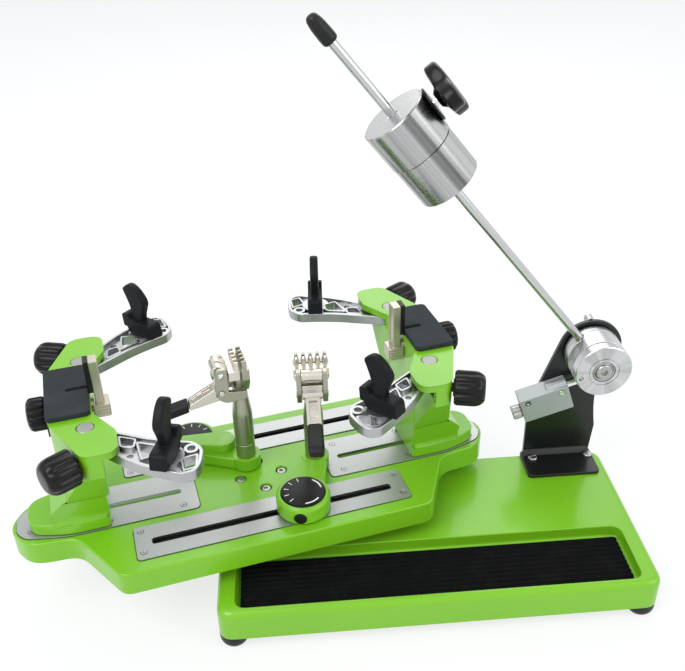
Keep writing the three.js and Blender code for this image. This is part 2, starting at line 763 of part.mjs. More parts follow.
function towerCover() {
  const low = towerHeight + seatGap;
  const top = low + coverThickness;
  const face = 25 + seatGap;
  const lid = plate([[-4.5, -coverHalf, 3], [face + coverSkirt, -coverHalf, 3], [face + coverSkirt, coverHalf, 3],
    [-4.5, coverHalf, 3]], low, top);
  const skirt = block(face, face + coverSkirt, -coverHalf + 1, coverHalf - 1, top - coverSkirtDrop, low + 1);
  const slit = block(-5 - past, 14, -1.5, 1.5, low - past, top + past);
  const pinNotch = [1, -1].map((side) =>
    bar(pinRadius + 1.2, low - past, top + past, 20).translate(0, side * pinOffset, 0));
  const hole = barX(screwRadius + boreFit + 0.1, face - past, face + coverSkirt + past, 16)
    .translate(0, 0, clampAxis);
  return cut(join(lid, skirt), slit, hole, ...pinNotch);
}

function centreKnob() {
  const start = 25 + 2 * seatGap + coverSkirt;
  const grip = flutedKnob(centreKnobRadius, start, start + centreKnobLength, 9, 3);
  return join(grip, bar(screwRadius, 16, start + 2, 12)).rotateY(Math.PI / 2);
}

function armKnob() {
  const grip = flutedKnob(armKnobRadius, seatGap, seatGap + armKnobLength, 9, 6);
  return join(grip, bar(screwRadius, -9, 8, 12)).rotateY(Math.PI / 2);
}

function endClamp() {
  const inner = -slabInner - 4;
  const shoe = plate(rectangle(inner - 12, inner, -9, 9, 2), clampAxis - 10, clampAxis + 4);
  const barPlate = plate(rectangle(inner - 7, inner - 2.5, -6.5, 6.5, 1), clampAxis - 8, endBarTop);
  const pad = block(inner - 3, inner + 1.5, -5.5, 5.5, towerHeight + 1, endBarTop - 1);
  const stem = barX(stemRadius, inner - 1, 10, 20).translate(0, 0, clampAxis);
  return join(shoe, barPlate, pad, stem);
}

// Arm about its pin: x runs toward the table centre, side gives the direction of its sweep
function armBody(side) {
  const place = (corners) => corners.map(([x, y, radius]) => [-x, side * y, radius]);
  const hole = ([x, y, radius], sides = 10) =>
    bar(radius, armBottom - past, armTop + past, sides).translate(-x, side * y, 0);
  const body = plate(place(armRim), armBottom, armTop, 1);
  const pin = spun([[0, armBottom - pinDepth], [pinFoot, armBottom - pinDepth], [pinFoot, armBottom + 1],
    [pinRadius, armBottom + 2], [pinRadius, towerHeight], [0, towerHeight]], 16);
  const windows = armWindows.map((corners) => plate(place(corners), armBottom - past, armTop + past, 1));
  const pocket = plate(place(armPocketAt), (armBottom + armTop) / 2, armTop + past);
  const pivotHole = hole([hookPivotX, hookPivotY, hookPin + boreFit], 12);
  return cut(join(body, pin), ...windows, pocket, hole(armPinHole, 8), hole(armEndHole), pivotHole);
}

// Hook about its pivot: the seat points along x
function hookBody() {
  const low = armTop + seatGap;
  const foot = upright(outline([[-hookBack, low, 2], [hookFront - 6, low, 1], [hookFront - 4, low + hookSeatUnder, 1],
    [hookFront, low + hookSeatUnder, 2], [hookFront + 1, low + hookSeatTop - 1, 2],
    [hookFront - 5, low + hookSeatTop, 2], [hookFront - 10, low + hookBlock, 2],
    [-hookBack + 2, low + hookBlock, 4]]), -hookWidth / 2, hookWidth / 2);
  const rise = hookFinOutline.map(([x, z, radius]) => [x, low + z, radius]);
  const fin = upright(outline(rise), -hookFin / 2, hookFin / 2);
  const pin = bar(hookPin, armBottom + 1, low + 2, 12);
  return join(foot, fin, pin);
}

function tower(parent, label, at, turn, arms) {
  const frame = frameAt(parent, at, 0, tableTop, turn);
  node(frame, `${label}_tower`, 'greenPaint', towerCasting());
  node(frame, `${label}_tower_cover`, 'greyPlastic', towerCover());
  node(frame, `${label}_centre_knob`, 'blackPlastic', centreKnob(), 0, 0, clampAxis);
  node(frame, `${label}_end_clamp`, 'nickel', endClamp());
  arms.forEach(({ place, side, swing, seat }) => {
    const knob = frameAt(frame, armKnobX, side * armKnobY, clampAxis, side * armKnobAngle);
    node(knob, `${place}_arm_knob`, 'blackPlastic', armKnob());
    const pin = frameAt(frame, 0, side * pinOffset, 0, -side * swing);
    node(pin, `${place}_arm`, 'castAluminium', armBody(side));
    const pivot = frameAt(pin, -hookPivotX, side * hookPivotY, 0, seat - turn + side * swing);
    node(pivot, `${place}_hook`, 'blackPlastic', hookBody());
  });
}

// Clamp shoe, housing, dial, post, jaws and lever
const slideTop = inlayTop + seatGap;

function clampShoe() {
  const head = block(-13, 13, -shoeChannelWidth / 2 + 1, shoeChannelWidth / 2 - 1, pocketFloor - 5, pocketFloor - 0.1);
  const neck = block(-12, 12, -railSlotWidth / 2 + 0.4, railSlotWidth / 2 - 0.4, pocketFloor - 1, slideTop - 0.2);
  const stud = bar(shoeStud - 1.6, slideTop - 1, slideTop + 9, 16);
  return join(head, neck, stud);
}

function clampBase(lobe) {
  const housing = spun([[0, slideTop], [housingRadius, slideTop], [housingRadius, slideTop + housingHeight - 2.5],
    [housingRadius - 2, slideTop + housingHeight], [0, slideTop + housingHeight]], 28);
  const slab = plate([[0, -18, 2], [clampReach - 6, -bossRadius + 1, 2], [clampReach - 6, bossRadius - 1, 2],
    [0, 18, 2]], slideTop, slideTop + armSlab);
  const boss = bar(bossRadius, slideTop, slideTop + armSlab + 1, 24).translate(clampReach, 0, 0);
  const parts = [slab, boss];
  if (lobe) {
    parts.push(bar(10, slideTop + 1, slideTop + lobeHeight, 20).translate(32, 3, 0));
    parts.push(upright(outline([[18, slideTop + 2], [32, slideTop + 2], [32, slideTop + lobeHeight - 1],
      [18, slideTop + 12]]), 0, 6));
  }
  const topFace = slideTop + housingHeight;
  const dialSeat = bar(dialRadius + boreFit, topFace - dialThickness + 1, topFace + 12, 28);
  const studBore = bar(shoeStud - 1.6 + boreFit, slideTop - past, slideTop + 10, 16);
  const postBore = bar(postPin + boreFit, slideTop + 2, slideTop + armSlab + 3, 20).translate(clampReach, 0, 0);
  return cut(join(housing, ...parts), dialSeat, studBore, postBore);
}

function clampDial() {
  const low = slideTop + housingHeight - dialThickness + 1 + seatGap;
  return spun([[0, low], [dialRadius, low], [dialRadius, low + dialThickness - 0.6],
    [dialRadius - 1, low + dialThickness], [0, low + dialThickness]], 28);
}

// Comb of teeth along x at the top of a jaw
const toothTop = headTop + toothHeight;
const jawBottom = headTop - jawDepth;
const leverPivotZ = headTop - leverDrop;

function teeth(y0, y1) {
  const pitch = 2 * headHalf / toothCount;
  return Array.from({ length: toothCount }, (_, i) => {
    const middle = -headHalf + pitch * (i + 0.5);
    return upright(outline([[middle - 1.9, headTop - 1], [middle + 1.9, headTop - 1], [middle + 1.4, toothTop],
      [middle - 1.4, toothTop]]), y0, y1);
  });
}

function clampPost() {
  const low = slideTop + armSlab + 1 + seatGap;
  const neck = leverPivotZ - 6;
  const stem = spun([[0, slideTop + 3], [postPin, slideTop + 3], [postPin, low], [postRadius, low],
    [postRadius, neck - 28], [postNeckRadius, neck - 8], [postNeckRadius, neck + 12], [0, neck + 12]], 16);
  const back = upright(outline([[-6, neck, 3], [6, neck, 3], [headHalf, jawBottom - 3, 4],
    [headHalf, headTop], [-headHalf, headTop], [-headHalf, jawBottom - 3, 4]]), 0.8, 7.5);
  const cheek = section(outline([[4, neck - 4, 2], [4, neck + 4, 2], [cheekRearEdge, neck + 6, 2],
    [cheekRearEdge, headTop + 3, 3], [cheekFrontEdge + 2, headTop + 3, 3], [cheekFrontEdge, leverPivotZ + 5, 4],
    [cheekFrontEdge + 3, neck - 1, 3], [cheekRearEdge - 3, neck - 5, 3]]), -headHalf + 2, headHalf - 2);
  const between = block(-headHalf + 2 + cheekThickness, headHalf - 2 - cheekThickness, cheekFrontEdge - past,
    -postNeckRadius + 1, neck - 6, headTop + 4);
  const holes = barX(2.5 + boreFit, -headHalf, headHalf, 16).translate(0, leverPivotY, leverPivotZ);
  return join(cut(cheek, between, holes), stem, back, ...teeth(1.4, 5.6));
}

function movingJaw() {
  const inner = headHalf - 2 - cheekThickness - seatGap;
  const jaw = block(-headHalf, headHalf, cheekRearEdge + seatGap + 0.4, -0.8, jawBottom + 1, headTop);
  const carrier = section(outline([[-8, jawBottom + 1], [-8, headTop - 1], [cheekFrontEdge + 5, headTop + 5, 3],
    [cheekFrontEdge - 1, headTop + 2, 4], [cheekFrontEdge - 1, jawBottom + 5, 4],
    [cheekFrontEdge + 5, jawBottom + 1, 2]]), -inner, inner);
  const slot = block(-1.2, 1.2, cheekFrontEdge + 4, cheekRearEdge, headTop, headTop + 8);
  return join(cut(carrier, slot), jaw, ...teeth(-5.4, -1.2));
}

// Lever about its pin: the handle runs toward -y
function clampLever() {
  const inner = headHalf - 2 - cheekThickness - seatGap;
  const barrel = barX(leverBarrel, -inner, inner, 20);
  const pin = barX(2.5, -headHalf + 1.4, headHalf - 1.4, 16);
  const flap = upright(outline([[-inner, -7, 3], [inner, -7, 3], [inner, jawBottom - leverPivotZ - 0.6],
    [-inner, jawBottom - leverPivotZ - 0.6]]), -4.6, 0);
  const handle = section(outline(leverHandleOutline), -leverHandleHalf, leverHandleHalf);
  const groove = section(outline([[-8, 3], [-26, -6], [-26, -12], [-8, -4]]), -2.4, 2.4);
  const tang = section(outline([[-27, -12], [-27, -16], [-50, -20.6], [-50, -17.4]]), -3, 3);
  return join(cut(handle, groove), barrel, pin, flap, tang);
}

function leverSleeve() {
  const outer = section(outline(sleeveOutline), -sleeveHalf, sleeveHalf);
  const bore = section(outline([[-28, -11.6], [-28, -16.8], [-50.5, -21.3], [-50.5, -16.8]]), -3.4, 3.4);
  const nose = [1, -1].map((side) => plate([[-52, side * 8], [-61, side * 8], [-61, side * 3.6], [-57.5, side * 5.6]]
    .map(([y, x]) => [x, y]).reverse(), -28, -10));
  return cut(outer, bore, ...nose);
}

function stringClamp(parent, label, u, w, turn, facing, lobe) {
  const seat = frameAt(parent, u, w, 0);
  node(seat, `${label}_clamp_shoe`, 'machinedAluminium', clampShoe());
  const base = frameAt(seat, 0, 0, 0, turn);
  node(base, `${label}_clamp_base`, 'greenPaint', clampBase(lobe));
  node(base, `${label}_clamp_dial`, 'blackPlastic', clampDial());
  const post = frameAt(base, clampReach, 0, 0, facing - turn);
  node(post, `${label}_clamp_post`, 'nickel', clampPost());
  node(post, `${label}_clamp_jaw`, 'nickel', movingJaw());
  node(post, `${label}_clamp_lever`, 'nickel', clampLever(), 0, leverPivotY, leverPivotZ);
  node(post, `${label}_clamp_grip`, 'blackRubber', leverSleeve(), 0, leverPivotY, leverPivotZ);
}

// Assembly
const machine = new THREE.Group();

function addBase() {
  node(machine, 'base_housing', 'greenPaint', baseHousing());
  node(machine, 'tray_mat', 'blackRubber', trayMat());
  feet.forEach(([name, x, y]) => node(machine, name, 'blackRubber', foot(), x, y, 0));
  node(machine, 'bearing_pedestal', 'castAluminium', pedestal());
  node(machine, 'tension_post', 'blackPaint', tensionPost());
  node(machine, 'drum_axle', 'chrome', drumAxle(), drumX, 0, drumZ);
  const stop = frameAt(machine, stopX, 0, stopZ);
  stop.rotation.set(0, radians(-stopTilt), 0);
  const lane = (stopFront + postFace - seatGap) / 2;
  node(stop, 'stop_block', 'machinedAluminium', stopBlock());
  node(stop, 'stop_knurled_screw', 'chrome', knurledScrew(), 0, lane, -3);
  node(stop, 'stop_plunger', 'chrome', plunger(), 0, lane, plungerRise);
}

function addLever() {
  const axis = frameAt(machine, drumX, 0, drumZ);
  node(axis, 'gripper_hub', 'machinedAluminium', gripperHub());
  node(axis, 'gripper_cheek', 'machinedAluminium', gripperCheek());
  const rod = frameAt(axis, 0, rodY, 0);
  rod.rotation.set(0, radians(-leverTilt), 0);
  node(rod, 'lever_rod', 'chrome', bar(rodRadius, rodStart, rodEnd, 20));
  node(rod, 'lever_grip', 'blackRubber', leverGrip());
  node(rod, 'main_weight', 'turnedSteel', mainWeight());
  node(rod, 'extra_weight', 'turnedSteel', extraWeight());
  node(rod, 'weight_knob', 'blackPlastic', weightKnob(), 0, 0, weightKnobAt);
}

function addTable() {
  const table = frameAt(machine, 0, 0, 0, tableTurn);
  node(table, 'table_casting', 'greenPaint', tableCasting());
  node(table, 'table_hub', 'machinedAluminium', tableHub());
  [['rear', 'right', 0], ['front', 'left', 180]].forEach(([across, along, turn]) => {
    const half = frameAt(table, 0, 0, 0, turn);
    node(half, `${across}_rail`, 'castAluminium', rail());
    node(half, `track_plate_${along}`, 'castAluminium', trackPlate());
  });
  tower(table, 'right', towerRightAt, 0, [
    { place: 'front_right', side: -1, swing: armSwing.frontRight, seat: hookSeat.frontRight },
    { place: 'rear_right', side: 1, swing: armSwing.rearRight, seat: hookSeat.rearRight },
  ]);
  tower(table, 'left', -towerLeftAt, 180, [
    { place: 'front_left', side: 1, swing: armSwing.frontLeft, seat: hookSeat.frontLeft },
    { place: 'rear_left', side: -1, swing: armSwing.rearLeft, seat: hookSeat.rearLeft },
  ]);
  stringClamp(table, 'front', 26, -railLane, 63.8, -13, false);
  stringClamp(table, 'rear', -54, railLane, -39.2, -90, true);
}

addBase();
addLever();
addTable();

const group = new THREE.Group();
group.add(machine);
const bounds = new THREE.Box3().setFromObject(machine, true);
const centre = bounds.getCenter(new THREE.Vector3());
machine.position.set(-centre.x, -centre.y, -bounds.min.z);

export default group;
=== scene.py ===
"""Looks of a bench racket stringing machine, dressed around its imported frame."""

import json
import logging
import math
from collections.abc import Callable, Iterable, Sequence
from dataclasses import dataclass, field
from enum import Enum

import bmesh
import bpy
from mathutils import Matrix, Vector


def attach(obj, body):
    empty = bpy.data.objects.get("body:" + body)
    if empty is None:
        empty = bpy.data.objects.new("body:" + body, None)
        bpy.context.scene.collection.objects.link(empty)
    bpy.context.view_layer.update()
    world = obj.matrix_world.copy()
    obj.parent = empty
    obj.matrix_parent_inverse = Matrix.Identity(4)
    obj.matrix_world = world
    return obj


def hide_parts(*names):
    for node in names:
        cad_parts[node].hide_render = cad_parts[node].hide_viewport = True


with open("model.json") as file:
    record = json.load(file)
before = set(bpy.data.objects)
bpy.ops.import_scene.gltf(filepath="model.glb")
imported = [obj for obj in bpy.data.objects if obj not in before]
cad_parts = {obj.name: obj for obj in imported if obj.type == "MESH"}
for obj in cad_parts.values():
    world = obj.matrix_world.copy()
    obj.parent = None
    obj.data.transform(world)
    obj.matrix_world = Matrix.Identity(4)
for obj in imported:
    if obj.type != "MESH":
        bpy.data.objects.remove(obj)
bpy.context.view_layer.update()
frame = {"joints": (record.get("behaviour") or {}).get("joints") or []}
LOG = logging.getLogger("stringing_machine")
MM = 0.001
SEAT = 0.3
UPRIGHT = Matrix(((0, 0, 1, 0), (1, 0, 0, 0), (0, 1, 0, 0), (0, 0, 0, 1)))

Corner = Sequence[float]
Colour = tuple[float, float, float]


class Blend(Enum):
    """How one form changes another."""

    JOIN = "UNION"
    CUT = "DIFFERENCE"
    KEEP = "INTERSECT"


class Axis(Enum):
    """The axis that a turned piece was spun about."""

    X = "X"
    Y = "Y"
    Z = "Z"


@dataclass(frozen=True)
class Place:
    """A placing in the machine's frame, in millimetres.

    Args:
        matrix: Rotation and translation from local to the row frame.
    """

    matrix: Matrix

    def child(self, x: float, y: float, z: float = 0.0, turn: float = 0.0) -> "Place":
        """A placing inside this one, turned about Z by degrees."""
        spin = Matrix.Rotation(math.radians(turn), 4, "Z")
        return Place(self.matrix @ Matrix.Translation((x, y, z)) @ spin)

    def tilted(self, degrees: float) -> "Place":
        """This placing turned about its own Y axis."""
        return Place(self.matrix @ Matrix.Rotation(math.radians(degrees), 4, "Y"))

    def metres(self) -> Matrix:
        """The same placing with its translation in metres."""
        scaled = self.matrix.copy()
        scaled.translation = self.matrix.translation * MM
        return scaled


def filled(corners: Iterable[Corner]) -> list[tuple[float, float, float]]:
    """Corners that all carry a rounding, nought where none was given."""
    return [(*c, 0.0)[:3] for c in corners]


def facing(corners: Iterable[Corner]) -> list[tuple[float, float, float]]:
    """An outline's corners run counter-clockwise."""
    ring = filled(corners)
    area = sum(a[0] * b[1] - b[0] * a[1] for a, b in zip(ring, ring[1:] + ring[:1]))
    return ring if area > 0 else ring[::-1]


def softened(ring: Sequence[Corner], steps: int) -> list[tuple[float, float]]:
    """Points of an outline whose corners may each carry a rounding.

    Args:
        ring: Corners as x, y and a rounding, in millimetres.
        steps: Segments in each rounded corner.

    Returns:
        The points in order, as many for every outline with the same rounded corners.
    """
    points: list[tuple[float, float]] = []
    for i, (x, y, radius) in enumerate(ring):
        if radius <= 0:
            points.append((x, y))
            continue
        ends = []
        for px, py, _ in (ring[i - 1], ring[(i + 1) % len(ring)]):
            span = math.hypot(px - x, py - y)
            reach = min(radius, span * 0.4995) / span
            ends.append((x + (px - x) * reach, y + (py - y) * reach))
        (sx, sy), (ex, ey) = ends
        for k in range(steps + 1):
            t = k / steps
            a, b, c = (1 - t) ** 2, 2 * t * (1 - t), t * t
            points.append((a * sx + b * x + c * ex, a * sy + b * y + c * ey))
    return points


def inset(corners: Iterable[Corner], distance: float) -> list[Corner]:
    """Corners of a counter-clockwise outline moved inward.

    Args:
        corners: The outline.
        distance: How far inward, in millimetres.

    Returns:
        The moved corners, with smaller roundings.
    """
    ring = filled(corners)
    moved: list[Corner] = []
    for i, (x, y, radius) in enumerate(ring):
        px, py, _ = ring[i - 1]
        nx, ny, _ = ring[(i + 1) % len(ring)]
        a = Vector((x - px, y - py)).normalized()
        b = Vector((nx - x, ny - y)).normalized()
        na, nb = Vector((-a.y, a.x)), Vector((-b.y, b.x))
        lean = na + nb
        lean = lean * (distance * 2 / lean.length_squared)
        moved.append((x + lean.x, y + lean.y, max(radius - distance * 0.5, 0.0)))
    return moved


def rectangle(x0: float, x1: float, y0: float, y1: float, radius: float = 0.0) -> list[Corner]:
    """Corners of a rectangle with equal roundings."""
    return [(x0, y0, radius), (x1, y0, radius), (x1, y1, radius), (x0, y1, radius)]


def mirrored(corners: Sequence[Corner]) -> list[Corner]:
    """An outline's lower half followed by its mirror image across X."""
    full = filled(corners)
    return full + [(x, -y, r) for x, y, r in reversed(full)]


@dataclass
class Form:
    """A closed shape in millimetres, with what is joined to it and cut from it.

    Args:
        points: The corner points.
        faces: Faces as lists of point numbers.
        steps: Later joins and cuts, in order.
    """

    points: list[Vector]
    faces: list[list[int]]
    steps: list[tuple[Blend, "Form"]] = field(default_factory=list)

    @classmethod
    def loft(cls, rings: Sequence[Sequence[Vector]], closed: bool = False) -> "Form":
        """Skins rings of equal length.

        Args:
            rings: The rings, in order.
            closed: Whether the last ring meets the first, which leaves out the caps.

        Returns:
            The form.
        """
        size = len(rings[0])
        points = [Vector(p) for ring in rings for p in ring]
        faces: list[list[int]] = []
        runs = len(rings) if closed else len(rings) - 1
        for i in range(runs):
            low, high = i * size, (i + 1) % len(rings) * size
            for k in range(size):
                n = (k + 1) % size
                faces.append([low + k, low + n, high + n, high + k])
        if not closed:
            faces.append(list(range(size))[::-1])
            faces.append(list(range((len(rings) - 1) * size, len(rings) * size)))
        return cls(points, faces)

    @classmethod
    def plate(cls, corners: Sequence[Corner], z0: float, z1: float, top: float = 0.0,
              bottom: float = 0.0, steps: int = 6) -> "Form":
        """A flat piece over an outline.

        Args:
            corners: The outline.
            z0: Its lower face.
            z1: Its upper face.
            top: Rounding of the upper edge.
            bottom: Rounding of the lower edge.
            steps: Points in each rounded corner.

        Returns:
            The form.
        """
        levels: list[tuple[float, float]] = []
        turns = 5
        if bottom > 0:
            levels += [(bottom * (1 - math.sin(a)), z0 + bottom * (1 - math.cos(a)))
                       for a in (math.pi / 2 * k / turns for k in range(turns))]
        levels.append((0.0, z0 + bottom))
        levels.append((0.0, z1 - top))
        if top > 0:
            levels += [(top * (1 - math.cos(a)), z1 - top + top * math.sin(a))
                       for a in (math.pi / 2 * k / turns for k in range(1, turns + 1))]
        base = filled(corners)
        rings = []
        for shrink, z in levels:
            ring = inset(base, shrink) if shrink > 0 else base
            ring = [(x, y, max(r, 0.2) if b[2] > 0 else 0.0) for (x, y, r), b in zip(ring, base)]
            rings.append([Vector((x, y, z)) for x, y in softened(ring, steps)])
        return cls.loft(rings)

    @classmethod
    def upright(cls, corners: Sequence[Corner], y0: float, y1: float, edge: float = 0.0, steps: int = 6) -> "Form":
        """An outline in XZ run from y0 to y1, with an optional rounding of its edges."""
        return cls.plate(facing(corners), -y1, -y0, edge, edge, steps).turned(Axis.X, 90)

    @classmethod
    def section(cls, corners: Sequence[Corner], x0: float, x1: float, edge: float = 0.0, steps: int = 6) -> "Form":
        """An outline in YZ run from x0 to x1, with an optional rounding of its edges."""
        return cls.plate(facing(corners), x0, x1, edge, edge, steps).changed(UPRIGHT)

    @classmethod
    def block(cls, x0: float, x1: float, y0: float, y1: float, z0: float, z1: float) -> "Form":
        """A plain box between two corners."""
        return cls.plate(rectangle(x0, x1, y0, y1), z0, z1)

    @classmethod
    def spun(cls, profile: Sequence[tuple[float, float]], sides: int = 64,
             reach: Callable[[float, float, float], float] | None = None,
             closed: bool = False) -> "Form":
        """A profile of radius and height spun about Z.

        Args:
            profile: Radius and height pairs, from one end to the other.
            sides: Segments round the axis.
            reach: Optional change of radius from angle, radius and height.
            closed: Whether the profile meets itself, as round a bore.

        Returns:
            The turned form.
        """
        rings = []
        for radius, z in profile:
            if radius <= 0:
                continue
            ring = []
            for k in range(sides):
                a = 2 * math.pi * k / sides
                r = reach(a, radius, z) if reach else radius
                ring.append(Vector((r * math.cos(a), r * math.sin(a), z)))
            rings.append(ring)
        return cls.loft(rings, closed)

    @classmethod
    def bar(cls, radius: float, z0: float, z1: float, sides: int = 48, tip: float | None = None) -> "Form":
        """A round bar along Z, with an optional other radius at its top."""
        return cls.spun([(radius, z0), (radius if tip is None else tip, z1)], sides)

    @classmethod
    def bar_x(cls, radius: float, x0: float, x1: float, sides: int = 48) -> "Form":
        """A round bar along X."""
        return cls.bar(radius, x0, x1, sides).turned(Axis.Y, 90)

    @classmethod
    def bar_y(cls, radius: float, y0: float, y1: float, sides: int = 48) -> "Form":
        """A round bar along Y."""
        return cls.bar(radius, -y1, -y0, sides).turned(Axis.X, 90)

    def changed(self, matrix: Matrix) -> "Form":
        """A copy moved by a matrix, with all that is joined to it or cut from it."""
        steps = [(mode, form.changed(matrix)) for mode, form in self.steps]
        return Form([matrix @ p for p in self.points], [list(f) for f in self.faces], steps)

    def moved(self, x: float = 0.0, y: float = 0.0, z: float = 0.0) -> "Form":
        """A copy moved along the axes."""
        return self.changed(Matrix.Translation((x, y, z)))

    def turned(self, axis: Axis, degrees: float) -> "Form":
        """A copy turned about one of its axes."""
        return self.changed(Matrix.Rotation(math.radians(degrees), 4, axis.value))

    def with_(self, mode: Blend, forms: Iterable["Form"]) -> "Form":
        """A copy that is also joined to, cut by or kept inside other forms."""
        return Form(self.points, self.faces, self.steps + [(mode, f) for f in forms])

    def join(self, *forms: "Form") -> "Form":
        """A copy with other forms added."""
        return self.with_(Blend.JOIN, forms)

    def cut(self, *forms: "Form") -> "Form":
        """A copy with other forms taken away."""
        return self.with_(Blend.CUT, forms)

    def keep(self, form: "Form") -> "Form":
        """A copy of what lies inside another form as well."""
        return self.with_(Blend.KEEP, [form])

    def shell(self) -> bpy.types.Object:
        """A temporary object with this form's own mesh, before its joins and cuts."""
        mesh = bpy.data.meshes.new("form")
        mesh.from_pydata([tuple(p) for p in self.points], [], self.faces)
        bm = bmesh.new()
        bm.from_mesh(mesh)
        bmesh.ops.recalc_face_normals(bm, faces=bm.faces)
        bm.to_mesh(mesh)
        bm.free()
        made = bpy.data.objects.new("form", mesh)
        bpy.context.scene.collection.objects.link(made)
        return made

    def solid(self) -> bpy.types.Mesh:
        """The finished mesh in millimetres, with every join and cut worked out."""
        if not self.steps:
            made = self.shell()
            mesh = made.data
            bpy.data.objects.remove(made)
            return mesh
        made = self.shell()
        tools = []
        for mode, form in self.steps:
            if form.steps:
                tool = bpy.data.objects.new("tool", form.solid())
                bpy.context.scene.collection.objects.link(tool)
            else:
                tool = form.shell()
            tools.append(tool)
            step = made.modifiers.new("step", "BOOLEAN")
            step.operation = mode.value
            step.solver = "MANIFOLD"
            step.object = tool
        mesh = flattened(made)
        for tool in [made, *tools]:
            old = tool.data
            bpy.data.objects.remove(tool)
            bpy.data.meshes.remove(old)
        return mesh


def flattened(obj: bpy.types.Object) -> bpy.types.Mesh:
    """An object's mesh with its modifiers applied, as new mesh data."""
    bpy.context.view_layer.update()
    graph = bpy.context.evaluated_depsgraph_get()
    return bpy.data.meshes.new_from_object(obj.evaluated_get(graph))


class Wire:
    """A value, colour or vector that runs between shader nodes.

    Args:
        graph: The graph that the socket belongs to.
        socket: The output socket.
    """

    def __init__(self, graph: "Graph", socket: bpy.types.NodeSocket) -> None:
        """Keeps the socket with its graph."""
        self.graph = graph
        self.socket = socket

    def maths(self, operation: str, first: "Wire | float", second: "Wire | float") -> "Wire":
        """Adds a Math node on two values."""
        return self.graph.add("ShaderNodeMath", {"operation": operation}, {0: first, 1: second})

    def __add__(self, other: "Wire | float") -> "Wire":
        """Sum."""
        return self.maths("ADD", self, other)

    def __radd__(self, other: float) -> "Wire":
        """Sum, number first."""
        return self.maths("ADD", other, self)

    def __sub__(self, other: "Wire | float") -> "Wire":
        """Difference."""
        return self.maths("SUBTRACT", self, other)

    def __rsub__(self, other: float) -> "Wire":
        """Difference, number first."""
        return self.maths("SUBTRACT", other, self)

    def __mul__(self, other: "Wire | float") -> "Wire":
        """Product."""
        return self.maths("MULTIPLY", self, other)

    def __rmul__(self, other: float) -> "Wire":
        """Product, number first."""
        return self.maths("MULTIPLY", other, self)

    def __pow__(self, other: float) -> "Wire":
        """Power."""
        return self.maths("POWER", self, other)

    def __gt__(self, other: "Wire | float") -> "Wire":
        """One where this value is the greater, and zero elsewhere."""
        return self.maths("GREATER_THAN", self, other)

    def __lt__(self, other: "Wire | float") -> "Wire":
        """One where this value is the smaller, and zero elsewhere."""
        return self.maths("LESS_THAN", self, other)


